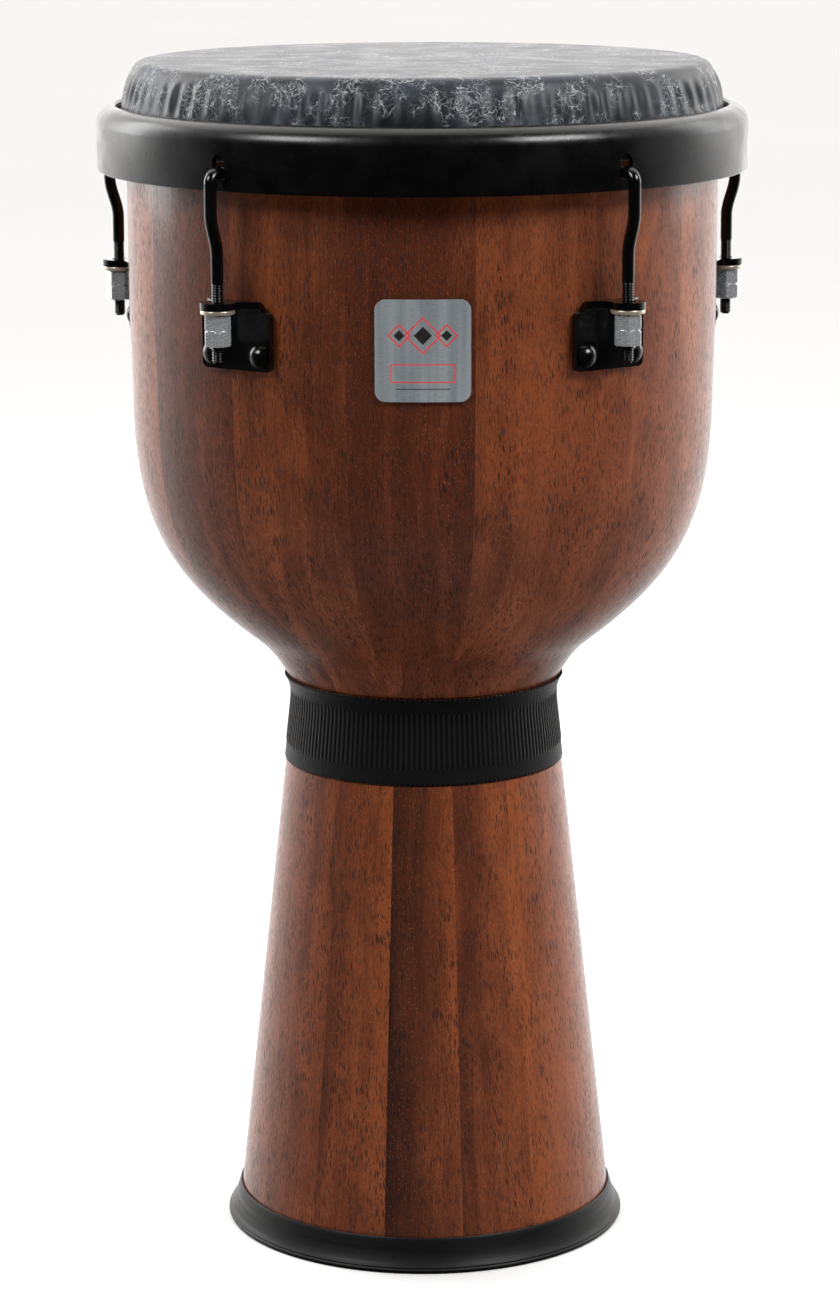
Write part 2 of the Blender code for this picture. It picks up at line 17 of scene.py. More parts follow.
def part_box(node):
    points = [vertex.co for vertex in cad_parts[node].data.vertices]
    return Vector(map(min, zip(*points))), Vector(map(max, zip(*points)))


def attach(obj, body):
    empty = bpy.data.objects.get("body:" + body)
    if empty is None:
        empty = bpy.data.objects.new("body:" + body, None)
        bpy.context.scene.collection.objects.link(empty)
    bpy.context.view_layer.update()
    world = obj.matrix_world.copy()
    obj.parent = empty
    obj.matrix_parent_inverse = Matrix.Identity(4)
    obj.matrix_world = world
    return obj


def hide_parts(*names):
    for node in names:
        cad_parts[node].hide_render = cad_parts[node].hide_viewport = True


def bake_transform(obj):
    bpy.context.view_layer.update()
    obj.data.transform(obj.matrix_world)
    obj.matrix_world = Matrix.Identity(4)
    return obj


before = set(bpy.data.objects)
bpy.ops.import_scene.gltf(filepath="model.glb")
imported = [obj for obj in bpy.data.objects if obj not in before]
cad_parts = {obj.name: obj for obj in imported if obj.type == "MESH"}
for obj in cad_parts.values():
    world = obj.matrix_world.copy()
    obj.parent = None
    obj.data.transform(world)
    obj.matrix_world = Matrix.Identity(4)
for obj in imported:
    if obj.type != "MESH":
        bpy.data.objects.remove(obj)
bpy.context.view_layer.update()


def radius_of(node):
    """Radius of a turned CAD node, which has a corner on the X axis."""
    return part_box(node)[1].x


def heights_of(node):
    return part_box(node)[0].z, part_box(node)[1].z


# ---- dimensions: first those that the frame gives, then the part's own outlines ------------

GAP = 0.0003
SHELL_R = radius_of("bowl")
FOOT_R = radius_of("foot_ring")
HOOP_R = radius_of("tuning_hoop")
HEM_R = radius_of("drumhead")
CHANNEL_R = radius_of("flesh_hoop")
JOINT_Z, RIM_Z = heights_of("bowl")
STEM_Z, SPIGOT_TOP_Z = heights_of("stem")
BAND_BOTTOM_Z, BAND_TOP_Z = heights_of("neck_band")
FOOT_TOP_Z = heights_of("foot_ring")[1]
HEM_END_Z, HEAD_TOP_Z = heights_of("drumhead")
CHANNEL_FLOOR_Z, CHANNEL_TOP_Z = heights_of("flesh_hoop")
HOOP_BOTTOM_Z, HOOP_TOP_Z = heights_of("tuning_hoop")
BADGE_BOTTOM_Z, BADGE_TOP_Z = heights_of("badge")
BADGE_WIDTH = 2 * radius_of("badge")
PLATE_BOTTOM_Z, EAR_TOP_Z = heights_of("lug_plate_1")
WASHER_BOTTOM_Z, WASHER_TOP_Z = heights_of("nut_washer_1")
NUT_BOTTOM_Z, NUT_TOP_Z = heights_of("tuning_nut_1")
ROD_END_Z, HOOK_TOP_Z = heights_of("tuning_hook_1")

WALL = 0.0135
WALL_TOP_Z = 0.6030
EDGE_SLOPE = (0.1492, 0.6147)    # radius and height where the shell's edge starts to round over
EDGE_CREST_R = 0.1430
NECK_SEAT = 0.0012
NECK_FLARE_Z = 0.2850
NECK_FLARE = 24.0
NECK_WALL = 0.0136
SPIGOT_WALL = 0.0060
FLARE = (0.0887, 0.3200)         # radius and height on the bowl's flare, where its angle is
FLARE_ANGLE = 37.6
BELLY_TOP = (0.1513, 0.4520)
BELLY_PULL = (0.0610, 0.0674)
STEM_FOOT_R = 0.1010
STEM_TAPER = 0.109
STEM_WALL = 0.0130
BAND_THICKNESS = 0.0018
FOOT_LIP = 0.0026
FOOT_FLOOR = 0.0040
FOOT_INNER_R = 0.0855
FILM = 0.0005
HEM_TOP_Z = 0.5970
CHANNEL_INNER = (0.1531, 0.1541)
CHANNEL_OUTER_R = 0.1558
CHANNEL_LEG_TOP_Z = 0.5900
HOOP_WALL = 0.0030
HOOP_LIP_R = 0.1578
HOOP_SHOULDER = 0.0095
SLOT_WIDTH = 0.0076
SLOT_TOP_Z = 0.5840

LUG_ANGLES = [36.0 + 72.0 * i for i in range(5)]
ROD_R = 0.0031
ROD_AXIS_R = 0.1700
ROD_REACH_R = 0.1745
HOOK_TIP_R = 0.1600
HOOK_BEND_R = 0.0050
HOOK_Z = HOOK_TOP_Z - ROD_R
JOG_TOP_Z = 0.5560
JOG_BOTTOM_Z = 0.5350
THREAD_TOP_Z = 0.5225
THREAD_PITCH = 0.00127
THREAD_DEPTH = 0.00055
PLATE_WIDTH = 0.0420
PLATE_TOP_Z = 0.5070
PLATE_CORNER = 0.0030
SHEET = 0.0034
EAR_ROOT_WIDTH = 0.0320
EAR_END_R = 0.0087
EAR_BEND_R = 0.0036
EAR_HOLE_R = 0.0038
WASHER_R = 0.0085
WASHER_HOLE_R = 0.0037
NUT_FLATS = 0.0127
NUT_BORE_R = 0.00345
NUT_TURNS = (25.0, 11.0, -4.0, 17.0, -21.0)    # of each hexagon, in degrees
BOLT_SPREAD = 0.0145
BOLT_Z = 0.4853
BOLT_HEAD_R = 0.0055
BOLT_HEAD_HEIGHT = 0.0035
BOLT_R = 0.0025
BOLT_LENGTH = 0.0275
BOLT_HOLE_R = 0.0030
BADGE_CORNER = 0.0053
BADGE_SHEET = 0.0008

STAVES = 15
STAVE_ANGLE = 360.0 / STAVES
BOWL_SEAM = -14.3            # angle of the seam at the left of the bowl's front stave
STEM_SEAM = -12.4
FLARE_SHADE_Z = (0.300, 0.430)     # painted shade: from its upper height down the bowl's underside, the staves come to one dim tone
FLARE_SHADE_LIGHTNESS = 0.34
FLARE_SHADE_SHARE = 0.85           # of the way to that shaded tone at the lower height
FLUTES = 90                  # soft pleats round the drumhead's collar
FLUTE_DEPTH = 0.0009
RIB_PITCH = 0.00265          # of the webbing's ribs
RIB_HEIGHT = 0.00045
SELVAGE = 0.0085             # flat woven zone at each edge of the webbing
LOOP_PITCH = 0.0024          # of the loops along its edges
LOOP_DEPTH = 0.0007
WEAVE_ROW = 0.00105          # from one row of the webbing's weave to the next

# name, half width, front edge, back edge and height. Only the near one lights the drum.
FLOORS = (("floor_near", 3.0, -0.9, 3.0, 0.0), ("floor_far", 40.0, -40.0, 40.0, -0.0004))
# name, place, (width, height) and power. Each area light faces the drum's middle.
LIGHTS = (
    ("key_left", (-1.35, -1.15, 1.75), (0.9, 0.7), 27.0),
    ("back_left", (-1.7, 1.0, 1.10), (0.9, 1.4), 20.0),
    ("key_right", (1.35, -1.15, 1.75), (0.9, 0.7), 35.0),
    ("back_right", (1.7, 1.0, 1.10), (0.9, 1.4), 10.0),
)
LIT_POINT = (0.0, 0.0, 0.32)

# ---- outlines -----------------------------------------------------------------------------


def along(start, end, steps):
    return [start + (end - start) * i / steps for i in range(steps + 1)]


def arc(centre, radius, start, end, steps):
    """Points on an arc, as (radius, height) pairs. The angles are in degrees above +X."""
    angles = [radians(a) for a in along(start, end, steps)]
    return [(centre[0] + radius * cos(a), centre[1] + radius * sin(a)) for a in angles]


def bezier(start, handle, other_handle, end, steps):
    knots = [Vector((*point, 0.0)) for point in (start, handle, other_handle, end)]
    return [(p.x, p.y) for p in interpolate_bezier(*knots, steps + 1)]


def eased(outline, size):
    """The outline with each corner of a closed loop cut by a short round."""
    points = [Vector(p) for p in outline]
    result = []
    for before, here, after in zip(points[-1:] + points[:-1], points, points[1:] + points[:1]):
        cut = min(size, (before - here).length * 0.45, (after - here).length * 0.45)
        start = here + (before - here).normalized() * cut
        end = here + (after - here).normalized() * cut
        result += bezier(start, start.lerp(here, 0.55), end.lerp(here, 0.55), end, 3)
    return result


def stem_radius(height):
    return STEM_FOOT_R - STEM_TAPER * height


def neck_radius(height):
    """Outer radius of the wood behind the neck band: the stem's cone, then a flare."""
    return stem_radius(height) - NECK_SEAT + NECK_FLARE * max(0.0, height - NECK_FLARE_Z) ** 2


BORE_R = neck_radius(NECK_FLARE_Z) - NECK_WALL
BAND_RIBS = round(2 * pi * neck_radius(NECK_FLARE_Z) / RIB_PITCH)


def bowl_outline():
    heights = [JOINT_Z, *along(NECK_FLARE_Z, BAND_TOP_Z, 6)]
    behind_band = [(neck_radius(z), z) for z in heights]
    neck_r = behind_band[-1][0]
    slope = radians(FLARE_ANGLE)
    pull = Vector((cos(slope), sin(slope)))
    flare = Vector(FLARE)
    handle = (neck_r + 0.0032, BAND_TOP_Z + 0.0055)
    neck = bezier(behind_band[-1], handle, flare - pull * 0.010, FLARE, 10)

    belly_r, belly_z = BELLY_TOP
    handle = (belly_r, belly_z - BELLY_PULL[1])
    belly = bezier(FLARE, flare + pull * BELLY_PULL[0], handle, BELLY_TOP, 34)
    handles = (belly_r + 0.0004, belly_z + 0.017), (SHELL_R, belly_z + 0.034)
    wall = bezier(BELLY_TOP, *handles, (SHELL_R, belly_z + 0.050), 8)

    edge_r, edge_z = EDGE_SLOPE
    handles = (edge_r - 0.0011, edge_z + 0.0038), (EDGE_CREST_R + 0.0030, RIM_Z)
    edge_round = bezier(EDGE_SLOPE, *handles, (EDGE_CREST_R, RIM_Z), 8)

    inner_r = SHELL_R - WALL
    inner_z = NECK_FLARE_Z + 0.023
    handles = (inner_r, belly_z - 0.055), (BORE_R + 0.020, inner_z + 0.010)
    inside = bezier((inner_r, belly_z), *handles, (BORE_R, inner_z), 20)
    socket_r = BORE_R + SPIGOT_WALL + GAP
    socket_z = SPIGOT_TOP_Z + GAP
    return (
        behind_band[:-1]
        + neck[:-1]
        + belly[:-1]
        + wall
        + [(SHELL_R, WALL_TOP_Z)]
        + edge_round
        + [(inner_r + 0.0015, RIM_Z), (inner_r, RIM_Z - 0.0015)]
        + inside
        + [(BORE_R, socket_z), (socket_r, socket_z), (socket_r, JOINT_Z)]
    )


def stem_outline():
    seat_z = BAND_BOTTOM_Z - GAP
    joint_z = JOINT_Z - GAP
    spigot_r = BORE_R + SPIGOT_WALL
    return (
        [(stem_radius(z), z) for z in along(STEM_Z, seat_z - 0.0004, 12)]
        + [(stem_radius(seat_z) - 0.0004, seat_z)]
        + [(neck_radius(seat_z), seat_z), (neck_radius(joint_z), joint_z)]
        + [(spigot_r, joint_z), (spigot_r, SPIGOT_TOP_Z), (BORE_R, SPIGOT_TOP_Z)]
        + [(BORE_R, BAND_BOTTOM_Z), (stem_radius(STEM_Z) - STEM_WALL, STEM_Z)]
    )


def foot_outline():
    top_in = stem_radius(FOOT_TOP_Z) + GAP
    outer_top = top_in + 0.0010
    handles = (FOOT_R - 0.0035, FOOT_LIP + 0.0030), (outer_top + 0.0015, FOOT_TOP_Z - 0.0060)
    hollow = bezier((FOOT_R, FOOT_LIP), *handles, (outer_top, FOOT_TOP_Z - 0.0006), 14)
    return (
        [(FOOT_INNER_R, 0.0), (FOOT_R - 0.0009, 0.0), (FOOT_R - 0.0003, 0.0003)]
        + [(FOOT_R, 0.0009), (FOOT_R, FOOT_LIP - 0.0007), (FOOT_R - 0.0006, FOOT_LIP)]
        + hollow[1:]
        + [(outer_top - 0.0004, FOOT_TOP_Z), (top_in + 0.0002, FOOT_TOP_Z - 0.0001)]
        + [(top_in, FOOT_TOP_Z - 0.0005), (stem_radius(FOOT_FLOOR) + GAP, FOOT_FLOOR)]
        + [(FOOT_INNER_R, FOOT_FLOOR)]
    )


def head_outline():
    """From under the film's middle down the inside of its hem, and back up over the top."""
    lift = GAP + FILM
    slope = Vector((HEM_R - FILM - EDGE_SLOPE[0], HEM_TOP_Z - EDGE_SLOPE[1])).normalized()
    side = Vector((-slope.y, slope.x))
    shoulder = Vector(EDGE_SLOPE)

    def roll(offset, height):
        start = shoulder + side * offset
        handle = start - slope * 0.0040
        return bezier(start, handle, (EDGE_CREST_R + 0.0032, height), (EDGE_CREST_R, height), 10)

    def skin(offset, height, hem_r):
        top = roll(offset, height)
        hem = Vector((hem_r, HEM_TOP_Z))
        collar = [tuple(hem.lerp(Vector(top[0]), t)) for t in along(0.0, 1.0, 16)]
        tail = [(hem_r, z) for z in along(HEM_END_Z, HEM_TOP_Z, 4)]
        return tail[:-1] + collar[:-1] + top

    outside = skin(lift, HEAD_TOP_Z, HEM_R)
    inside = skin(GAP, HEAD_TOP_Z - FILM, HEM_R - FILM)
    return inside[::-1] + outside


def flesh_hoop_outline():
    inner, inner_side = CHANNEL_INNER
    web_z = CHANNEL_FLOOR_Z + 0.0012
    return eased(
        [
            (inner, CHANNEL_FLOOR_Z),
            (CHANNEL_R, CHANNEL_FLOOR_Z),
            (CHANNEL_R, CHANNEL_TOP_Z - 0.0020),
            (CHANNEL_R - 0.0028, CHANNEL_TOP_Z),
            (CHANNEL_OUTER_R, CHANNEL_TOP_Z),
            (CHANNEL_OUTER_R, web_z),
            (inner_side, web_z),
            (inner_side, CHANNEL_LEG_TOP_Z),
            (inner, CHANNEL_LEG_TOP_Z),
        ],
        0.0004,
    )


def hoop_outline():
    middle = (HOOP_R - HOOP_SHOULDER, HOOP_TOP_Z - HOOP_SHOULDER)
    foot = 0.0012
    lip = (HOOP_LIP_R + 0.0014, HOOP_TOP_Z - HOOP_WALL / 2)
    return (
        arc((HOOP_R - foot, HOOP_BOTTOM_Z + foot), foot, -90.0, 0.0, 6)
        + arc(middle, HOOP_SHOULDER, 0.0, 90.0, 24)
        + arc(lip, HOOP_WALL / 2, 100.0, 260.0, 12)
        + arc(middle, HOOP_SHOULDER - HOOP_WALL, 90.0, 0.0, 12)
        + [(HOOP_R - HOOP_WALL, HOOP_BOTTOM_Z)]
    )


def washer_outline(inner, outer, bottom, top):
    return eased([(inner, bottom), (outer, bottom), (outer, top), (inner, top)], 0.0004)


# ---- meshes -------------------------------------------------------------------------------


def mesh_of(name, points, faces, sharp=30.0):
    mesh = bpy.data.meshes.new(name)
    mesh.from_pydata(points, [], faces)
    mesh.shade_smooth()
    mesh.set_sharp_from_angle(angle=radians(sharp))
    return mesh


def mesh_from(bm, name):
    mesh = bpy.data.meshes.new(name)
    bm.to_mesh(mesh)
    bm.free()
    return mesh


def store(mesh, name, vectors):
    """Keep a vector for each of the mesh's points, which its material reads by name."""
    layer = mesh.attributes.new(name, "FLOAT_VECTOR", "POINT")
    layer.data.foreach_set("vector", vectors.astype(np.float32).ravel())


def points_of(mesh):
    return np.array([v.co for v in mesh.vertices])


def grid_faces(rows, columns, row_loop, column_loop):
    """Quads over a grid of points that lies row after row, closed in a loop where asked."""
    i = np.arange(rows if row_loop else rows - 1)[:, None]
    j = np.arange(columns if column_loop else columns - 1)[None, :]
    over, side = (i + 1) % rows * columns, (j + 1) % columns
    corners = [i * columns + j, i * columns + side, over + side, over + j]
    return np.stack(corners, -1).reshape(-1, 4).tolist()


def turned(name, outline, sides, relief=None, filled=False, sharp=30.0):
    """Turn an outline about Z. It closes on itself or, where filled, ends in two flat faces.

    relief takes each point's radius, height and turn, and returns its new radius and height.
    """
    points = np.array(outline)
    turn = np.arange(sides) * 2 * pi / sides
    radius = points[:, :1] + np.zeros(sides)
    height = points[:, 1:] + np.zeros(sides)
    if relief is not None:
        radius, height = relief(radius, height, turn)
    places = np.stack([radius * np.cos(turn), radius * np.sin(turn), height], -1)
    rows = len(points)
    faces = grid_faces(rows, sides, not filled, True)
    if filled:
        faces += [list(range(sides))[::-1], list(range((rows - 1) * sides, rows * sides))]
    return mesh_of(name, places.reshape(-1, 3).tolist(), faces, sharp)


def corner_normals(points, sharp=28.0):
    """The outline's outward normals at both ends of each edge, joined where it runs smoothly."""
    step = np.roll(points, -1, 0) - points
    normal = np.stack([step[:, 1], -step[:, 0]], 1)
    normal /= np.linalg.norm(normal, axis=1, keepdims=True)
    before = np.roll(normal, 1, 0)
    joined = normal + before
    joined /= np.linalg.norm(joined, axis=1, keepdims=True)
    smooth = ((normal * before).sum(1) > cos(radians(sharp)))[:, None]
    start = np.where(smooth, joined, normal)
    end = np.where(np.roll(smooth, -1, 0), np.roll(joined, -1, 0), normal)
    return start, end


def swept(pairs, turn):
    """(radius, height) points or normals turned to each angle, as vectors."""
    parts = [pairs[:, :1] * np.cos(turn), pairs[:, :1] * np.sin(turn)]
    return np.stack([*parts, pairs[:, 1:] + 0 * turn], -1)


def stave_mesh(name, outline, seam, tone):
    """One stave, from its left seam over STAVE_ANGLE, with its shading carried over the seams.

    The grain attribute is (across, depth, along) the stave, moved to a place of its own. The
    tone attribute is (lightness, warmth, figure), and down the bowl's flare its lightness carries
    painted shade.
    """
    steps = 12
    points = np.array(outline)
    turn = np.radians(np.linspace(seam, seam + STAVE_ANGLE, steps + 1) - 90.0)
    rows, columns = len(points), steps + 1
    radius, height = points[:, :1], points[:, 1:]
    places = swept(points, turn).reshape(-1, 3)
    faces = grid_faces(rows, columns, True, False)
    left = [k * columns for k in range(rows)]
    faces += [left, [k + steps for k in reversed(left)]]

    start, end = corner_normals(points)
    start, end = swept(start, turn), swept(end, turn)
    around = np.stack([start[:, :-1], start[:, 1:], end[:, 1:], end[:, :-1]], 2)
    tangent = np.stack([-np.sin(turn), np.cos(turn), 0 * turn], -1)
    flat = [np.repeat(-tangent[:1], rows, 0), np.repeat(tangent[-1:], rows, 0)]
    normals = np.concatenate([around.reshape(-1, 3), *flat])

    mesh = bpy.data.meshes.new(name)
    mesh.from_pydata(places.tolist(), [], faces)
    mesh.shade_smooth()
    mesh.normals_split_custom_set(normals.tolist())

    across = radius * (turn - turn.mean())
    length = np.linalg.norm(np.roll(points, -1, 0) - points, axis=1)
    run = np.concatenate([[0.0], np.cumsum(length)[:-1]])[:, None] + 0 * turn
    dice = random.Random(name)
    moved = [dice.uniform(0.0, 3.0) for _ in range(3)]
    grain = np.stack([across + moved[0], 0 * across + moved[1], run + moved[2]], -1)
    lightness, lean, warmth, figure = tone
    share = (turn - turn.mean()) / (turn[-1] - turn[0]) + 0 * radius
    light = lightness + lean * share
    # painted shade: down the underside of the bowl's flare, each stave's lightness is pulled
    # towards one dim tone
    bottom, top = FLARE_SHADE_Z
    flare_shade = np.clip((top - height) / (top - bottom), 0.0, FLARE_SHADE_SHARE)
    flare_shade = np.where(height > JOINT_Z, flare_shade, 0.0)
    light = light + (FLARE_SHADE_LIGHTNESS - light) * flare_shade
    store(mesh, "grain", grain)
    store(mesh, "tone", np.stack([light, warmth + 0 * share, figure + 0 * share], -1))
    return mesh


def shown(name, mesh, material, matrix=None):
    mesh.materials.clear()
    mesh.materials.append(material)
    thing = bpy.data.objects.new(name, mesh)
    bpy.context.scene.collection.objects.link(thing)
    if matrix is not None:
        thing.matrix_world = matrix
    return thing


def settle(thing, body, slot, *nodes):
    """Ride on a CAD body and stand for its nodes. The slot is not used."""
    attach(thing, body)
    if nodes:
        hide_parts(*nodes)


def evaluated(thing, name):
    """The mesh that a helper's modifiers make. The helper is removed."""
    graph = bpy.context.evaluated_depsgraph_get()
    mesh = bpy.data.meshes.new_from_object(thing.evaluated_get(graph))
    mesh.name = name
    bpy.data.objects.remove(thing)
    return mesh


def helper(name, mesh):
    """An object that only lends its shape to another."""
    thing = bpy.data.objects.new(name, mesh)
    bpy.context.scene.collection.objects.link(thing)
    thing.hide_render = True
    return thing


def cut(thing, cutter):
    boolean = thing.modifiers.new("cut", "BOOLEAN")
    boolean.operation = "DIFFERENCE"
    boolean.solver = "EXACT"
    boolean.object = cutter


def bevel(thing, width, angle=35.0):
    round_off = thing.modifiers.new("bevel", "BEVEL")
    round_off.width = width
    round_off.segments = 3
    round_off.limit_method = "ANGLE"
    round_off.angle_limit = radians(angle)
    weigh = thing.modifiers.new("normals", "WEIGHTED_NORMAL")
    weigh.keep_sharp = False


def sheet_mesh(name, rungs):
    """A sheet of quads between one rung, a list of points, and the next."""
    bm = bmesh.new()
    rows = [[bm.verts.new(point) for point in rung] for rung in rungs]
    for low, high in zip(rows, rows[1:]):
        for i in range(len(low) - 1):
            bm.faces.new((low[i], low[i + 1], high[i + 1], high[i]))
    bmesh.ops.remove_doubles(bm, verts=bm.verts, dist=1e-6)
    mesh = mesh_from(bm, name)
    mesh.shade_smooth()
    return mesh


def thicken(thing, thickness):
    solid = thing.modifiers.new("thickness", "SOLIDIFY")
    solid.thickness = thickness
    solid.offset = 0.0
    solid.use_even_offset = True


def drills(name, places):
    """Round cutters, from a (radius, length, matrix) for each."""
    bm = bmesh.new()
    for radius, length, matrix in places:
        size = {"radius1": radius, "radius2": radius, "depth": length, "matrix": matrix}
        bmesh.ops.create_cone(bm, cap_ends=True, segments=40, **size)
    return helper(name, mesh_from(bm, name))


# ---- materials ----------------------------------------------------------------------------


def rgb(red, green, blue):
    return (red, green, blue, 1.0)


class Nodes:
    """Short ways to add nodes to a tree. Each returns an output socket."""

    def __init__(self, tree):
        self.tree = tree

    def feed(self, node, values):
        """Link or set a node's inputs, by name or number."""
        for name, value in values.items():
            if isinstance(value, bpy.types.NodeSocket):
                self.tree.links.new(value, node.inputs[name])
            else:
                node.inputs[name].default_value = value

    def add(self, kind, values, output=0, **settings):
        node = self.tree.nodes.new("ShaderNode" + kind)
        for name, value in settings.items():
            setattr(node, name, value)
        self.feed(node, values)
        return node.outputs[output]

    def math(self, operation, *values):
        return self.add("Math", dict(enumerate(values)), operation=operation)

    def scaled(self, vector, x, y, z):
        return self.add("VectorMath", {0: vector, 1: (x, y, z)}, operation="MULTIPLY")

    def parts(self, vector):
        first = self.add("SeparateXYZ", {0: vector})
        return first.node.outputs[0], first.node.outputs[1], first.node.outputs[2]

    def joined(self, x, y, z=0.0):
        return self.add("CombineXYZ", {0: x, 1: y, 2: z})

    def noise(self, vector, scale, detail=2.0, roughness=0.5, distortion=0.0):
        values = {"Vector": vector, "Scale": scale, "Detail": detail}
        values |= {"Roughness": roughness, "Distortion": distortion}
        return self.add("TexNoise", values)

    def cells(self, vector, scale, output="Distance", **settings):
        found = self.add("TexVoronoi", {"Vector": vector, "Scale": scale}, 0, **settings)
        return found.node.outputs[output]

    def ramp(self, value, low, high, least=0.0, most=1.0):
        values = dict(enumerate((value, low, high, least, most)))
        return self.add("MapRange", values, interpolation_type="SMOOTHSTEP")

    def mix(self, factor, a, b):
        return self.add("Mix", {0: factor, 6: a, 7: b}, 2, data_type="RGBA")

    def choose(self, factor, a, b):
        """The same as mix, for plain numbers."""
        return self.add("Mix", {0: factor, 2: a, 3: b})

    def colours(self, value, *stops):
        """A colour ramp through (place, colour) stops."""
        found = self.add("ValToRGB", {0: value})
        elements = found.node.color_ramp.elements
        while len(elements) < len(stops):
            elements.new(0.5)
        for element, (place, colour) in zip(elements, stops):
            element.position = place
            element.color = rgb(*colour)
        return found

    def object_place(self):
        return self.add("TexCoord", {}, "Object")

    def attribute(self, name):
        return self.add("Attribute", {}, "Vector", attribute_name=name)

    def bump(self, height, distance, strength=1.0):
        values = {"Height": height, "Distance": distance, "Strength": strength}
        return self.add("Bump", values)


class Graph(Nodes):
    """A material's nodes. Its shader is the Principled one."""

    def __init__(self, name, **constants):
        self.material = bpy.data.materials.new(name)
        self.material.use_nodes = True
        super().__init__(self.material.node_tree)
        self.finish(**constants)

    def finish(self, **inputs):
        """Set or link the shader's inputs, with _ for each space in their names."""
        shader = self.tree.nodes["Principled BSDF"]
        self.feed(shader, {k.replace("_", " "): v for k, v in inputs.items()})
        return self.material


def wood_material():
    """Oiled mahogany: ribbon figure, streaks, dark pores and small bright flecks."""
    g = Graph("shell_wood", Coat_Weight=0.26, Coat_Roughness=0.15, Specular_IOR_Level=0.22)
    grain = g.scaled(g.attribute("grain"), 1000.0, 1000.0, 1000.0)
    lightness, warmth, figure = g.parts(g.attribute("tone"))
    wander = g.noise(g.scaled(grain, 0.05, 0.05, 0.012), 1.0, 1.0)
    across, depth, run = g.parts(grain)
    bent = g.math("ADD", across, g.math("MULTIPLY", wander, 14.0))
    flow = g.joined(bent, depth, run)
    streak = g.noise(g.scaled(flow, 0.9, 0.9, 0.030), 1.0, 3.0, 0.6)
    broad = g.noise(g.scaled(flow, 0.11, 0.11, 0.007), 1.0, 2.0)
    mottle = g.noise(g.scaled(flow, 0.055, 0.055, 0.035), 1.0, 2.0, 0.55, 0.6)

    value = g.math("ADD", lightness, g.math("MULTIPLY", g.math("SUBTRACT", broad, 0.5), 0.35))
    value = g.math("ADD", value, g.math("MULTIPLY", g.math("SUBTRACT", streak, 0.5), 0.22))
    swing = g.math("MULTIPLY", g.math("SUBTRACT", mottle, 0.5), figure)
    value = g.math("ADD", value, swing)
    cool = g.colours(
        value,
        (0.0, (0.014, 0.004, 0.002)),
        (0.3, (0.076, 0.0160, 0.0058)),
        (0.6, (0.195, 0.050, 0.018)),
        (1.0, (0.380, 0.120, 0.045)),
    )
    warm = g.colours(
        value,
        (0.0, (0.025, 0.006, 0.003)),
        (0.3, (0.100, 0.023, 0.007)),
        (0.6, (0.260, 0.063, 0.014)),
        (1.0, (0.500, 0.160, 0.038)),
    )
    colour = g.mix(warmth, cool, warm)

    def dashes(width, length, slant, least, most, shift):
        """Soft upright dashes: cells drawn long, each with a dark middle of its own size."""
        lean = g.math("MULTIPLY", run, slant)
        u = g.math("DIVIDE", g.math("ADD", bent, lean), width)
        v = g.math("ADD", g.math("DIVIDE", run, length), shift)
        place = g.joined(u, v)
        distance = g.cells(place, 1.0, voronoi_dimensions="2D")
        pick = g.parts(g.cells(place, 1.0, "Color", voronoi_dimensions="2D"))[0]
        size = g.ramp(pick, 0.10, 1.0, least, most)
        inner = g.math("MULTIPLY", size, 0.4)
        return g.ramp(distance, size, inner)

    crowd = g.ramp(g.noise(g.scaled(flow, 0.07, 0.07, 0.030), 1.0, 2.0), 0.36, 0.60)
    pores = dashes(1.10, 8.0, 0.05, 0.10, 0.44, 0.0)
    fine_pores = dashes(0.70, 3.6, 0.04, 0.12, 0.44, 5.5)
    flecks = dashes(0.85, 3.0, 0.05, 0.0, 0.20, 9.0)
    dark_pores = g.math("MULTIPLY", pores, g.math("ADD", g.math("MULTIPLY", crowd, 0.5), 0.5))
    pit = g.math("MAXIMUM", dark_pores, g.math("MULTIPLY", fine_pores, 0.50))
    colour = g.mix(g.math("MULTIPLY", flecks, 0.34), colour, rgb(0.55, 0.20, 0.075))
    colour = g.mix(g.math("MULTIPLY", pit, 0.90), colour, rgb(0.014, 0.007, 0.005))

    height = g.math("SUBTRACT", g.math("MULTIPLY", streak, 0.25), pit)
    return g.finish(
        Base_Color=colour,
        Roughness=g.ramp(g.math("ADD", pit, streak), 0.3, 1.3, 0.36, 0.62),
        Normal=g.bump(height, 0.00004),
    )


def paint_material(name, tint, roughness, peel, peel_depth):
    """Black paint with the fine waves of a sprayed coat. peel is their size."""
    g = Graph(name, Specular_IOR_Level=0.45)
    place = g.object_place()
    wave = g.noise(place, 1.0 / peel, 2.0)
    haze = g.noise(place, 60.0, 3.0, 0.6)
    dark, light = (tuple(t * k for t in tint) for k in (0.75, 1.35))
    return g.finish(
        Base_Color=g.mix(haze, rgb(*dark), rgb(*light)),
        Roughness=g.ramp(haze, 0.3, 0.75, roughness - 0.05, roughness + 0.06),
        Normal=g.bump(wave, peel_depth),
    )


def metal_material(name, dark, light, roughness):
    """Plated steel with faint blotches and scratches."""
    g = Graph(name, Metallic=0.75)
    place = g.object_place()
    blotch = g.noise(place, 350.0, 3.0, 0.6)
    scratch = g.noise(g.scaled(place, 400.0, 400.0, 2600.0), 1.0, 2.0)
    mark = g.math("MULTIPLY", g.math("ADD", blotch, scratch), 0.5)
    return g.finish(
        Base_Color=g.mix(g.ramp(mark, 0.35, 0.65), rgb(*dark), rgb(*light)),
        Roughness=g.ramp(mark, 0.3, 0.7, roughness - 0.02, roughness + 0.03),
        Normal=g.bump(scratch, 0.0000005, 0.2),
    )


def ring_place(g):
    """(distance from the drum's axis, height, a little of the turn), for marks that run round."""
    x, y, z = g.parts(g.object_place())
    distance = g.math("SQRT", g.math("ADD", g.math("MULTIPLY", x, x), g.math("MULTIPLY", y, y)))
    return distance, z, g.math("MULTIPLY", g.math("ADD", x, y), 0.01)


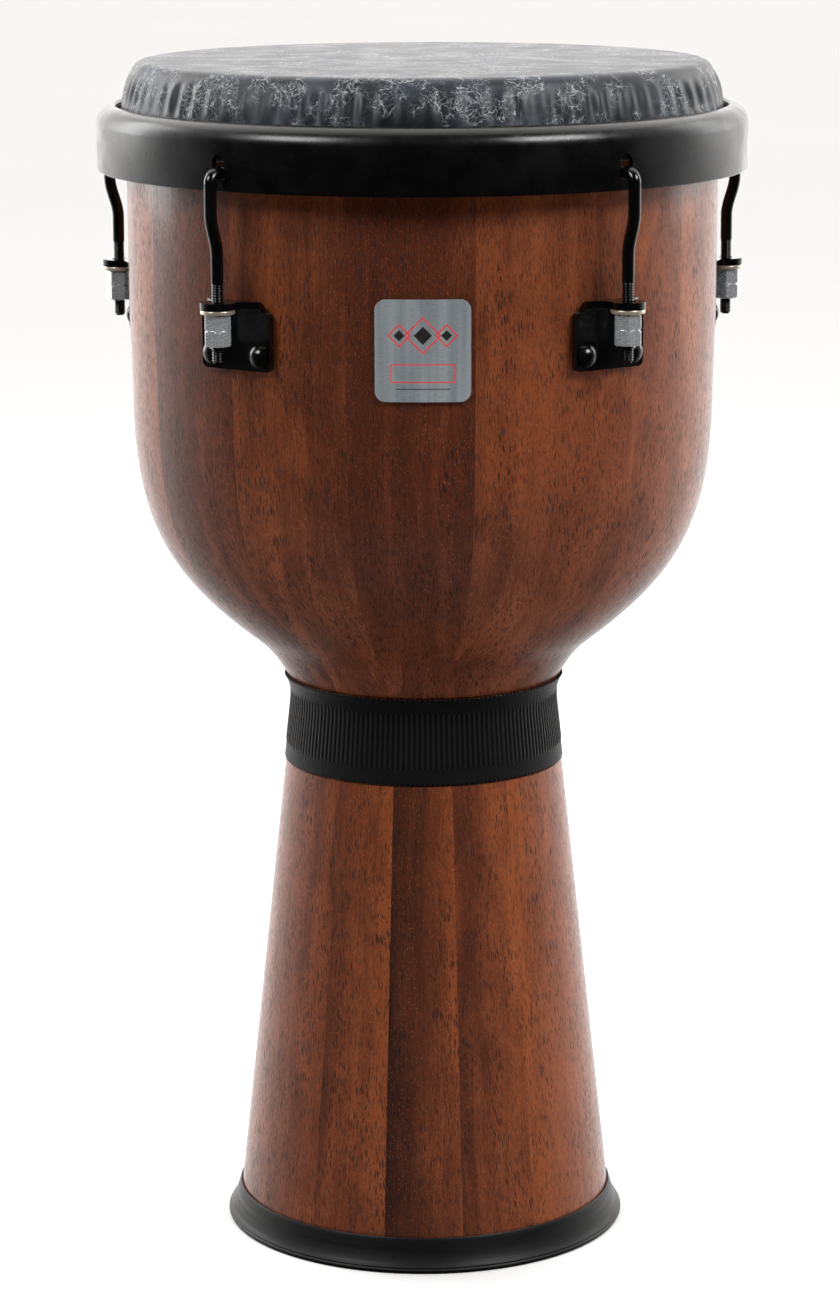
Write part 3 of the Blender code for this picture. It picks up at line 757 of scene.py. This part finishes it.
def alloy_material():
    """Brushed aluminium, with its lines running round the hoop."""
    g = Graph("flesh_alloy", Metallic=1.0)
    lines = g.noise(g.joined(*ring_place(g)), 5200.0, 3.0, 0.6)
    return g.finish(
        Base_Color=g.mix(lines, rgb(0.42, 0.43, 0.45), rgb(0.72, 0.73, 0.75)),
        Roughness=g.ramp(lines, 0.3, 0.7, 0.28, 0.45),
        Normal=g.bump(lines, 0.00001),
    )


def rubber_material():
    """Satin black rubber, slightly streaked round the ring."""
    g = Graph("foot_rubber", Specular_IOR_Level=0.26)
    lines = g.noise(g.joined(*ring_place(g)), 1900.0, 3.0, 0.6)
    speck = g.noise(g.object_place(), 900.0, 3.0, 0.7)
    return g.finish(
        Base_Color=g.mix(lines, rgb(0.0010, 0.0010, 0.0010), rgb(0.0040, 0.0039, 0.0038)),
        Roughness=g.ramp(lines, 0.3, 0.7, 0.40, 0.55),
        Normal=g.bump(g.math("ADD", g.math("MULTIPLY", lines, 0.6), speck), 0.00003),
    )


def film_material():
    """Dark film with a marbled print: blue-black clouds crossed by pale broken veins."""
    g = Graph("drum_film", Coat_Weight=0.05, Coat_Roughness=0.25, Specular_IOR_Level=0.42)
    place = g.object_place()
    sway = g.add("TexNoise", {"Vector": place, "Scale": 55.0, "Detail": 3.0}, "Color")
    bent = g.add("VectorMath", {0: place, 1: g.scaled(sway, 0.016, 0.016, 0.016)})
    ripple = g.add("TexNoise", {"Vector": place, "Scale": 330.0, "Detail": 2.0}, "Color")
    torn = g.add("VectorMath", {0: bent, 1: g.scaled(ripple, 0.0045, 0.0045, 0.0045)})
    cloud = g.noise(bent, 38.0, 4.0, 0.6)
    edge = g.cells(torn, 125.0, feature="DISTANCE_TO_EDGE")
    small_edge = g.cells(torn, 330.0, feature="DISTANCE_TO_EDGE")
    patch = g.ramp(g.noise(place, 62.0, 2.0), 0.40, 0.66)
    broken = g.ramp(g.noise(place, 420.0, 2.0), 0.40, 0.56)
    vein = g.math("MULTIPLY", g.ramp(edge, 0.034, 0.0), broken)
    hair = g.math("MULTIPLY", g.ramp(small_edge, 0.055, 0.0), g.math("MULTIPLY", patch, 0.75))
    vein = g.math("MAXIMUM", g.math("MULTIPLY", vein, g.ramp(patch, 0.0, 0.6)), hair)
    base = g.colours(
        cloud,
        (0.32, (0.0012, 0.0020, 0.0045)),
        (0.50, (0.0045, 0.0070, 0.0130)),
        (0.68, (0.0290, 0.0390, 0.0540)),
    )
    return g.finish(
        Base_Color=g.mix(g.math("MULTIPLY", vein, 0.8), base, rgb(0.50, 0.52, 0.54)),
        Roughness=g.ramp(cloud, 0.3, 0.7, 0.42, 0.55),
        Normal=g.bump(g.noise(place, 900.0, 3.0, 0.6), 0.00002),
    )


def webbing_material():
    """Black webbing. Small beads of the weave run up each rib, and a twill crosses the edges. Its
    colour has painted shade in the weave's grooves and painted highlights on its crests, over the
    fibres' own uneven tone.

    The weave attribute is (ribs counted round, height up the band, distance from its edge).
    """
    g = Graph("webbing", Specular_IOR_Level=0.14, Sheen_Weight=0.36, Sheen_Roughness=0.26)
    ribs, up, from_edge = g.parts(g.attribute("weave"))
    middle = g.ramp(from_edge, SELVAGE - 0.0004, SELVAGE + 0.0008)
    loop = g.math("SINE", g.math("MULTIPLY", ribs, 2 * pi * RIB_PITCH / LOOP_PITCH))
    hem = g.ramp(from_edge, 0.0018, 0.0009)
    row = g.math("MULTIPLY", up, 1.0 / WEAVE_ROW)
    stagger = g.math("MULTIPLY", g.math("PINGPONG", ribs, 1.0), 0.5)
    bead = g.math("SINE", g.math("MULTIPLY", g.math("ADD", row, stagger), 2 * pi))
    ridge = g.math("COSINE", g.math("MULTIPLY", ribs, 2 * pi))
    bead = g.math("ADD", g.math("MULTIPLY", bead, 0.35), g.math("MULTIPLY", ridge, 0.75))
    slant = g.math("ADD", g.math("MULTIPLY", ribs, 1.6), g.math("MULTIPLY", row, 0.75))
    twill = g.math("SINE", g.math("MULTIPLY", slant, 2 * pi))
    height = g.choose(middle, g.math("MULTIPLY", twill, 0.6), bead)
    height = g.choose(hem, height, loop)
    fuzz = g.noise(g.object_place(), 2600.0, 2.0, 0.7)
    # painted shade and highlight: the weave's relief darkens the grooves and lightens the crests
    # in the base colour; the fuzz is the fibres' own uneven tone
    weave_shade_and_fuzz = g.ramp(g.math("ADD", g.math("MULTIPLY", height, 0.5), fuzz), 0.25, 1.15)
    return g.finish(
        Base_Color=g.mix(weave_shade_and_fuzz, rgb(0.0003, 0.0003, 0.0003), rgb(0.0100, 0.0100, 0.0097)),
        Roughness=g.ramp(fuzz, 0.3, 0.7, 0.50, 0.70),
        Normal=g.bump(g.math("ADD", g.math("MULTIPLY", height, 0.5), fuzz), 0.00012),
    )


def badge_material():
    """Brushed plate with a printed red frame and a plain pattern of diamonds. Soft upright bands
    in the plate's colour are painted reflection.

    The print attribute is (across, up) from the badge's middle.
    """
    g = Graph("badge_plate")
    across, up, _ = g.parts(g.scaled(g.attribute("print"), 1000.0, 1000.0, 1000.0))
    brush = g.noise(g.joined(g.math("MULTIPLY", across, 0.03), up), 9.0, 3.0, 0.6)
    # painted reflection: soft upright dark and light bands, as the curved plate would mirror the
    # studio
    painted_reflection_bands = g.noise(g.joined(across, g.math("MULTIPLY", up, 0.05)), 0.16, 2.0)
    plate = g.mix(g.ramp(painted_reflection_bands, 0.35, 0.65), rgb(0.27, 0.31, 0.345), rgb(0.44, 0.48, 0.51))
    plate = g.mix(g.ramp(brush, 0.3, 0.7, 0.0, 0.35), plate, rgb(0.66, 0.69, 0.71))

    def off(value, centre):
        return g.math("ABSOLUTE", g.math("SUBTRACT", value, centre))

    def line(distance, width):
        """1 where a signed distance in millimetres is within half of the line's width."""
        return g.ramp(g.math("ABSOLUTE", distance), width / 2 + 0.12, width / 2 - 0.12)

    def box(half_width, half_height, centre_up):
        wide = g.math("SUBTRACT", off(across, 0.0), half_width)
        tall = g.math("SUBTRACT", off(up, centre_up), half_height)
        return g.math("MAXIMUM", wide, tall)

    def diamond(centre, half_width, half_height, centre_up):
        total = g.math(
            "ADD",
            g.math("DIVIDE", off(across, centre), half_width),
            g.math("DIVIDE", off(up, centre_up), half_height),
        )
        size = half_width * half_height / sqrt(half_width**2 + half_height**2)
        return g.math("MULTIPLY", g.math("SUBTRACT", total, 1.0), size)

    red = line(box(15.5, 4.3, -11.0), 0.60)
    black = line(box(13.0, 0.0, -18.6), 0.5)
    for place, size in ((-11.5, 5.2), (0.0, 8.6), (11.5, 5.2)):
        red = g.math("MAXIMUM", red, line(diamond(place, size, size, 7.5), 0.75))
        inside = g.ramp(diamond(place, size * 0.52, size * 0.52, 7.5), 0.1, -0.1)
        black = g.math("MAXIMUM", black, inside)
    colour = g.mix(red, plate, rgb(0.62, 0.035, 0.030))
    colour = g.mix(black, colour, rgb(0.012, 0.012, 0.013))
    printed = g.math("MAXIMUM", red, black)
    return g.finish(
        Base_Color=colour,
        Metallic=g.math("MULTIPLY", g.math("SUBTRACT", 1.0, printed), 0.55),
        Roughness=g.choose(printed, g.ramp(brush, 0.3, 0.7, 0.26, 0.40), 0.45),
        Normal=g.bump(brush, 0.000012),
    )


def floor_material():
    g = Graph("floor_pale", Roughness=0.85, Specular_IOR_Level=0.2)
    cloud = g.noise(g.object_place(), 0.8, 2.0)
    return g.finish(Base_Color=g.mix(cloud, rgb(0.80, 0.80, 0.80), rgb(0.83, 0.83, 0.83)))


# ---- shell --------------------------------------------------------------------------------

# (lightness, how much lighter the right side is, warmth, strength of the mottled figure)
BOWL_TONES = {
    0: (0.26, 0.05, 0.30, 0.18),
    1: (0.49, 0.06, 0.45, 0.34),
    2: (0.50, 0.00, 0.40, 0.45),
    13: (0.28, 0.06, 0.40, 0.30),
    14: (0.35, -0.05, 0.90, 0.28),
}
STEM_TONES = {
    0: (0.24, 0.40, 0.85, 0.20),
    1: (0.40, 0.20, 0.60, 0.30),
    2: (0.54, 0.00, 0.85, 0.30),
    13: (0.40, 0.00, 0.45, 0.30),
    14: (0.37, 0.12, 0.90, 0.28),
}


def add_staves(node, outline, seam, tones, wood):
    """Stand the staves for a turned CAD node. Those out of the front view get random tones."""
    dice = random.Random(node)
    for k in range(STAVES):
        other = [dice.uniform(*r) for r in ((0.3, 0.6), (-0.1, 0.1), (0.1, 0.9), (0.3, 0.6))]
        name = f"{node}_stave_{k + 1:02d}"
        mesh = stave_mesh(name, outline, seam + k * STAVE_ANGLE, tones.get(k, other))
        settle(shown(name, mesh, wood), "shell", "shell_wood", node)


def band_relief(radius, height, turn):
    """Raise the ribs on the outer face and swing the edges out into small loops."""
    loops = round(2 * pi * neck_radius(NECK_FLARE_Z) / LOOP_PITCH)
    from_edge = np.minimum(height - BAND_BOTTOM_Z, BAND_TOP_Z - height)
    outer = radius > np.vectorize(neck_radius)(height) + GAP + BAND_THICKNESS * 0.5
    middle = np.clip((from_edge - SELVAGE) / 0.0015, 0.0, 1.0)
    rib = np.abs(np.cos(turn * BAND_RIBS / 2)) ** 0.7
    raised = radius + outer * (middle * (rib * RIB_HEIGHT - 0.0003) - (1 - middle) * 0.0002)
    edge = np.clip(1.0 - from_edge / 0.0012, 0.0, 1.0)
    side = np.sign(height - (BAND_BOTTOM_Z + BAND_TOP_Z) / 2)
    looped = height - side * edge * LOOP_DEPTH * (0.5 - 0.5 * np.cos(turn * loops))
    return raised, looped


def band_outline():
    lift = GAP + BAND_THICKNESS
    edge = 0.0006
    heights = along(BAND_BOTTOM_Z + edge, BAND_TOP_Z - edge, 44)
    outside = [(neck_radius(z) + lift, z) for z in heights]
    bottom_r, top_r = neck_radius(BAND_BOTTOM_Z), neck_radius(BAND_TOP_Z)
    inside = [(neck_radius(z) + GAP, z) for z in reversed(heights[::4])]
    return (
        [(bottom_r + GAP + edge, BAND_BOTTOM_Z), (bottom_r + lift - edge, BAND_BOTTOM_Z)]
        + outside
        + [(top_r + lift - edge, BAND_TOP_Z), (top_r + GAP + edge, BAND_TOP_Z)]
        + inside
    )


def add_band():
    mesh = turned("neck_webbing", band_outline(), 1360, band_relief, sharp=80.0)
    x, y, z = points_of(mesh).T
    ribs = np.arctan2(y, x) * BAND_RIBS / (2 * pi)
    up = z - BAND_BOTTOM_Z
    store(mesh, "weave", np.stack([ribs, up, np.minimum(up, BAND_TOP_Z - z)], 1))
    band = shown("neck_webbing", mesh, webbing_material())
    settle(band, "shell", "webbing", "neck_band")


def add_badge():
    radius = SHELL_R + GAP + BADGE_SHEET / 2
    half = BADGE_WIDTH / 2
    centre = (BADGE_BOTTOM_Z + BADGE_TOP_Z) / 2
    tall = (BADGE_TOP_Z - BADGE_BOTTOM_Z) / 2
    quarter = [radians(a) for a in along(0.0, 90.0, 10)]
    left = [
        (-half + BADGE_CORNER * (1 - cos(a)), tall - BADGE_CORNER * (1 - sin(a))) for a in quarter
    ]
    flat = half - BADGE_CORNER
    middle = [(flat * k / 10, tall) for k in range(-9, 10)]
    right = [(-across, up) for across, up in reversed(left)]
    rungs = []
    for across, up in left + middle + right:
        turn = across / radius - pi / 2
        x, y = radius * cos(turn), radius * sin(turn)
        rungs.append([Vector((x, y, centre - up)), Vector((x, y, centre + up))])
    blank = helper("badge_blank", sheet_mesh("badge_blank", rungs))
    thicken(blank, BADGE_SHEET)
    bevel(blank, 0.00035, 50.0)
    mesh = evaluated(blank, "name_badge")
    x, y, z = points_of(mesh).T
    across = np.arctan2(x, -y) * radius
    store(mesh, "print", np.stack([across, z - centre, 0 * across], 1))
    settle(shown("plain_badge", mesh, badge_material()), "shell", "badge_plate", "badge")


# ---- drumhead and hoops -------------------------------------------------------------------


def flutes(radius, height, turn):
    """Soft, uneven pleats on the collar, strongest half way down it. They only swell outwards."""
    sway = 1.3 * np.sin(7 * turn + 0.3) + 0.9 * np.sin(11 * turn + 1.1)
    depth = 0.72 + 0.28 * np.cos(13 * turn + 0.8 * np.sin(5 * turn))
    wave = np.cos(FLUTES * turn + sway) * depth
    share = np.clip((EDGE_SLOPE[1] + 0.0010 - height) / (EDGE_SLOPE[1] - HEM_TOP_Z), 0.0, 1.0)
    strength = np.sin(pi * share**0.85) ** 0.8 * FLUTE_DEPTH
    return radius + strength * (0.95 + wave), height


def add_head():
    film = film_material()
    skin = turned("head_film", head_outline(), 1080, flutes, filled=True)
    head = shown("head_film", skin, film)
    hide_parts("drumhead")
    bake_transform(head)
    channel = turned("head_channel", flesh_hoop_outline(), 360)
    settle(shown("head_channel", channel, alloy_material()), "hoop", "flesh_alloy", "flesh_hoop")


def lug_turn(angle):
    """The turn that carries +X to a lug's angle."""
    return Matrix.Rotation(radians(angle - 90.0), 4, "Z")


def slot_cutter():
    """Five arched slots: square at the bottom, round at the top."""
    bottom = HOOK_Z - ROD_R - GAP
    half = SLOT_WIDTH / 2
    crown = SLOT_TOP_Z - half
    outline = [(half, bottom)] + arc((0.0, crown), half, 0.0, 180.0, 24) + [(-half, bottom)]
    bm = bmesh.new()
    for angle in LUG_ANGLES:
        turn = lug_turn(angle)
        near = HOOP_R - 3 * HOOP_WALL
        face = bm.faces.new([bm.verts.new(turn @ Vector((near, y, z))) for y, z in outline])
        grown = bmesh.ops.extrude_face_region(bm, geom=[face])
        moved = [v for v in grown["geom"] if isinstance(v, bmesh.types.BMVert)]
        bmesh.ops.translate(bm, verts=moved, vec=turn @ Vector((6 * HOOP_WALL, 0.0, 0.0)))
    bmesh.ops.recalc_face_normals(bm, faces=bm.faces)
    return helper("slot_cutter", mesh_from(bm, "slot_cutter"))


def add_hoop():
    paint = paint_material("hoop_black", (0.0014, 0.0014, 0.0014), 0.28, 0.0011, 0.00002)
    blank = helper("hoop_blank", turned("hoop_blank", hoop_outline(), 360))
    cutter = slot_cutter()
    cut(blank, cutter)
    mesh = evaluated(blank, "counter_hoop")
    bpy.data.objects.remove(cutter)
    mesh.shade_smooth()
    mesh.set_sharp_from_angle(angle=radians(30.0))
    settle(shown("counter_hoop", mesh, paint), "hoop", "hoop_black", "tuning_hoop")


# ---- lugs ---------------------------------------------------------------------------------

# A lug's own frame: X points out from the rod's axis, Y along the plate and Z up.
PLATE_X = SHELL_R + GAP + SHEET / 2 - ROD_AXIS_R
OUTWARD = Matrix.Rotation(pi / 2, 4, "Y")      # turns +Z to +X


def plate_rungs():
    """Rungs up the plate, round the bend and out along the ear, which ends round the rod."""
    half = PLATE_WIDTH / 2
    ear_z = EAR_TOP_Z - SHEET / 2
    root = EAR_ROOT_WIDTH / 2
    flat = half - PLATE_CORNER
    corner = [radians(a) for a in along(0.0, 90.0, 6)]
    ends = [(PLATE_CORNER * (1 - cos(a)), flat + PLATE_CORNER * sin(a)) for a in corner]

    def rung(x, z, width):
        return [Vector((x, -width, z)), Vector((x, width, z))]

    rungs = [rung(PLATE_X, PLATE_BOTTOM_Z + rise, width) for rise, width in ends]
    rungs += [rung(PLATE_X, PLATE_TOP_Z - rise, width) for rise, width in reversed(ends)]
    middle = (PLATE_X + EAR_BEND_R, ear_z - EAR_BEND_R)
    rungs += [rung(x, z, root) for x, z in arc(middle, EAR_BEND_R, 180.0, 90.0, 10)]
    lean = asin((root - EAR_END_R) / -middle[0])
    rungs += [
        rung(EAR_END_R * sin(a), ear_z, EAR_END_R * cos(a)) for a in along(-lean, pi / 2, 16)
    ]
    return rungs


def lug_plate_mesh():
    blank = helper("plate_blank", sheet_mesh("plate_blank", plate_rungs()))
    thicken(blank, SHEET)
    places = [(EAR_HOLE_R, 3 * SHEET, Matrix.Translation((0.0, 0.0, EAR_TOP_Z - SHEET / 2)))]
    for spread in (-BOLT_SPREAD, BOLT_SPREAD):
        where = Matrix.Translation((PLATE_X, spread, BOLT_Z))
        places.append((BOLT_HOLE_R, 3 * SHEET, where @ OUTWARD))
    holes = drills("plate_drills", places)
    cut(blank, holes)
    bevel(blank, 0.0006)
    mesh = evaluated(blank, "lug_bracket")
    bpy.data.objects.remove(holes)
    return mesh


def hook_route():
    """The rod's middle line, as (distance from the rod's axis, height) points."""
    reach = ROD_REACH_R - ROD_AXIS_R
    bend = arc((reach - HOOK_BEND_R, HOOK_Z - HOOK_BEND_R), HOOK_BEND_R, 90.0, 0.0, 14)
    jog = [
        (reach * (1 + cos(pi * t)) / 2, JOG_TOP_Z + (JOG_BOTTOM_Z - JOG_TOP_Z) * t)
        for t in along(0.0, 1.0, 18)
    ]
    steps = round((THREAD_TOP_Z - ROD_END_Z) / THREAD_PITCH * 8)
    thread = [(0.0, z) for z in along(THREAD_TOP_Z, ROD_END_Z, steps)]
    tip = HOOK_TIP_R - ROD_AXIS_R
    return [(tip, HOOK_Z), (tip + 0.0005, HOOK_Z), *bend, *jog, *thread]


def hook_mesh():
    """A bent rod, with a helical thread on the part of it below THREAD_TOP_Z."""
    sides = 32
    end_round = 0.0012
    route = np.array(hook_route())
    step = np.gradient(route, axis=0)
    step /= np.linalg.norm(step, axis=1, keepdims=True)
    normal = np.stack([-step[:, 1], step[:, 0]], 1)
    turn = np.arange(sides) * 2 * pi / sides
    height = route[:, 1:]
    phase = height / THREAD_PITCH + turn / (2 * pi)
    ridge = np.abs(2 * (phase % 1.0) - 1.0)
    threaded = np.clip((THREAD_TOP_Z - height) / THREAD_PITCH, 0.0, 1.0)
    radius = ROD_R - THREAD_DEPTH * (1 - ridge) * threaded
    radius[0] *= 0.80
    from_end = height - ROD_END_Z
    radius *= np.sqrt(0.45 + 0.55 * np.clip(from_end / end_round, 0.0, 1.0))
    out = np.cos(turn) * radius
    x = route[:, :1] + normal[:, :1] * out
    places = np.stack([x, np.sin(turn) * radius, height + normal[:, 1:] * out], -1)
    rows = len(route)
    faces = grid_faces(rows, sides, False, True)
    faces += [list(range(sides))[::-1], list(range((rows - 1) * sides, rows * sides))]
    mesh = mesh_of("hook_rod", places.reshape(-1, 3).tolist(), faces, 45.0)
    bm = bmesh.new()
    bm.from_mesh(mesh)
    bmesh.ops.recalc_face_normals(bm, faces=bm.faces)
    bm.to_mesh(mesh)
    bm.free()
    return mesh


def nut_mesh():
    """A hexagon nut: chamfered ends, a turned groove at mid height and a bore."""
    height = NUT_TOP_Z - NUT_BOTTOM_Z
    flat = NUT_FLATS / 2
    rises = [0.0, 0.00008, 0.0002, 0.00035, 0.0005, 0.00065, 0.0009]
    groove = [-0.0007, -0.0005, -0.0003, 0.0, 0.0003, 0.0005, 0.0007]
    outer = rises + [height / 2 + z for z in groove] + [height - z for z in reversed(rises)]
    bore = [(NUT_BORE_R, height - 0.0006), (NUT_BORE_R, 0.0006)]
    outline = [(flat, z) for z in outer]
    outline += [(NUT_BORE_R + 0.0006, height), *bore, (NUT_BORE_R + 0.0006, 0.0)]

    def hexagon(radius, z, turn):
        side = flat / np.cos(turn % (pi / 3) - pi / 6)
        side = np.minimum(side, flat / cos(pi / 6) - 0.00015)
        chamfer = flat * 0.965 + np.minimum(z, height - z) * sqrt(3)
        inset = flat - 0.00035 + np.abs(z - height / 2) * 1.9
        shape = np.minimum(np.minimum(side, chamfer), inset)
        return np.where(radius > flat - 1e-6, shape, radius), z

    return turned("hex_nut", outline, 180, hexagon, sharp=22.0)


def bolt_outline():
    """A domed head on a plain shank, which runs down from Z = 0."""
    edge = 0.0008
    swell = (BOLT_HEAD_R**2 + (BOLT_HEAD_HEIGHT - edge) ** 2) / (2 * (BOLT_HEAD_HEIGHT - edge))
    dome = [
        (r, BOLT_HEAD_HEIGHT - swell + sqrt(swell**2 - r**2))
        for r in along(BOLT_HEAD_R - 0.0002, 0.0003, 14)
    ]
    return [
        (BOLT_R - 0.0005, -BOLT_LENGTH),
        (BOLT_R, -BOLT_LENGTH + 0.0005),
        (BOLT_R, 0.0),
        (BOLT_HEAD_R - 0.0003, 0.0),
        (BOLT_HEAD_R, 0.0003),
        (BOLT_HEAD_R, edge),
        *dome,
    ]


def add_lugs():
    black = paint_material("lug_black", (0.0014, 0.0014, 0.0014), 0.21, 0.0011, 0.00001)
    rod = paint_material("rod_black", (0.0018, 0.0018, 0.0018), 0.18, 0.0030, 0.00001)
    dome = paint_material("bolt_black", (0.0018, 0.0018, 0.0018), 0.20, 0.0020, 0.00001)
    zinc = metal_material("nut_zinc", (0.70, 0.73, 0.76), (0.76, 0.79, 0.81), 0.26)
    yellow = metal_material("washer_steel", (0.58, 0.50, 0.38), (0.68, 0.61, 0.49), 0.32)
    plate, hook, nut = lug_plate_mesh(), hook_mesh(), nut_mesh()
    height = WASHER_TOP_Z - WASHER_BOTTOM_Z
    washer = turned("washer", washer_outline(WASHER_HOLE_R, WASHER_R, 0.0, height), 64)
    bolt = turned("bolt", bolt_outline(), 48, filled=True)
    for k, angle in enumerate(LUG_ANGLES, 1):
        turn = lug_turn(angle)
        axis = turn @ Matrix.Translation((ROD_AXIS_R, 0.0, 0.0))
        phase = Matrix.Rotation(radians(NUT_TURNS[k - 1]), 4, "Z")
        at_washer = axis @ Matrix.Translation((0.0, 0.0, WASHER_BOTTOM_Z))
        at_nut = axis @ Matrix.Translation((0.0, 0.0, NUT_BOTTOM_Z)) @ phase
        rows = [
            ("bracket", plate, black, axis, "shell", "lug_black", "lug_plate"),
            ("hook", hook, rod, axis, f"hook_{k}", "rod_black", "tuning_hook"),
            ("thrust_washer", washer, yellow, at_washer, "shell", "washer_steel", "nut_washer"),
            ("hex_nut", nut, zinc, at_nut, f"nut_{k}", "nut_zinc", "tuning_nut"),
        ]
        for name, mesh, material, matrix, body, slot, node in rows:
            settle(shown(f"{name}_{k}", mesh, material, matrix), body, slot, f"{node}_{k}")
        for side, spread in (("left", -BOLT_SPREAD), ("right", BOLT_SPREAD)):
            seat = Matrix.Translation((SHELL_R + SHEET + 2 * GAP, spread, BOLT_Z))
            thing = shown(f"dome_bolt_{k}_{side}", bolt, dome, turn @ seat @ OUTWARD)
            settle(thing, "shell", "bolt_black", f"plate_bolt_{k}_{side}")


def dress_inner_hardware():
    """The washers and nuts inside the bowl stay as the CAD makes them."""
    steel = metal_material("inner_steel", (0.38, 0.39, 0.41), (0.62, 0.63, 0.65), 0.36)
    for name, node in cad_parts.items():
        if name.startswith(("bolt_washer", "bolt_nut")):
            node.data.materials.clear()
            node.data.materials.append(steel)


# ---- stage --------------------------------------------------------------------------------


def add_light(name, kind, place, turn):
    lamp = bpy.data.lights.new(name, kind)
    thing = bpy.data.objects.new(name, lamp)
    thing.location = place
    thing.rotation_euler = turn
    bpy.context.scene.collection.objects.link(thing)
    return lamp


def add_lights():
    for name, place, size, power in LIGHTS:
        aim = Vector(LIT_POINT) - Vector(place)
        lamp = add_light(name, "AREA", place, aim.to_track_quat("-Z", "Y").to_euler())
        lamp.shape = "RECTANGLE"
        lamp.size, lamp.size_y = size
        lamp.energy = power
    sky = add_light("sky", "SUN", (0.0, 0.0, 0.0), (radians(-25.0), 0.0, 0.0))
    sky.energy = 1.6
    sky.color = (1.0, 0.975, 0.955)
    sky.angle = radians(80.0)


def add_floors():
    pale = floor_material()
    for name, half, front, back, z in FLOORS:
        bm = bmesh.new()
        corners = ((-half, front), (half, front), (half, back), (-half, back))
        bm.faces.new([bm.verts.new((x, y, z)) for x, y in corners])
        floor = shown(name, mesh_from(bm, name), pale)
        floor.visible_glossy = False
        floor.visible_diffuse = name == "floor_near"


def add_world():
    """Bright behind the drum, dark in front of it and below, and plain grey to the camera."""
    world = bpy.data.worlds.new("studio")
    bpy.context.scene.world = world
    world.use_nodes = True
    g = Nodes(world.node_tree)
    _, y, z = g.parts(g.add("TexCoord", {}, "Generated"))
    behind = g.add("MapRange", dict(enumerate((y, -0.2, 0.95, 0.004, 2.2))))
    above = g.add("MapRange", dict(enumerate((z, -0.75, -0.25, 0.1, 1.0))))
    light = g.math("MULTIPLY", behind, above)
    green, blue = (g.math("MULTIPLY", light, share) for share in (0.98, 0.965))
    tint = g.add("CombineColor", {0: light, 1: green, 2: blue})
    seen = g.mix(g.add("LightPath", {}, "Is Camera Ray"), tint, rgb(0.8, 0.8, 0.8))
    g.feed(g.tree.nodes["Background"], {"Color": seen})


def add_camera():
    lens = bpy.data.cameras.new("camera")
    lens.lens = 110.2
    camera = bpy.data.objects.new("camera", lens)
    camera.location = (-0.0007, -2.09, 0.754)
    camera.rotation_euler = (radians(77.9), radians(0.15), 0.0)
    bpy.context.scene.collection.objects.link(camera)
    bpy.context.scene.camera = camera


def main():
    bpy.context.scene.view_settings.view_transform = "Standard"
    wood = wood_material()
    add_staves("bowl", bowl_outline(), BOWL_SEAM, BOWL_TONES, wood)
    add_staves("stem", stem_outline(), STEM_SEAM, STEM_TONES, wood)
    rubber = shown("foot_rubber_ring", turned("foot", foot_outline(), 360), rubber_material())
    settle(rubber, "shell", "foot_rubber", "foot_ring")
    add_band()
    add_badge()
    add_head()
    add_hoop()
    add_lugs()
    dress_inner_hardware()
    add_floors()
    add_lights()
    add_world()
    add_camera()


main()
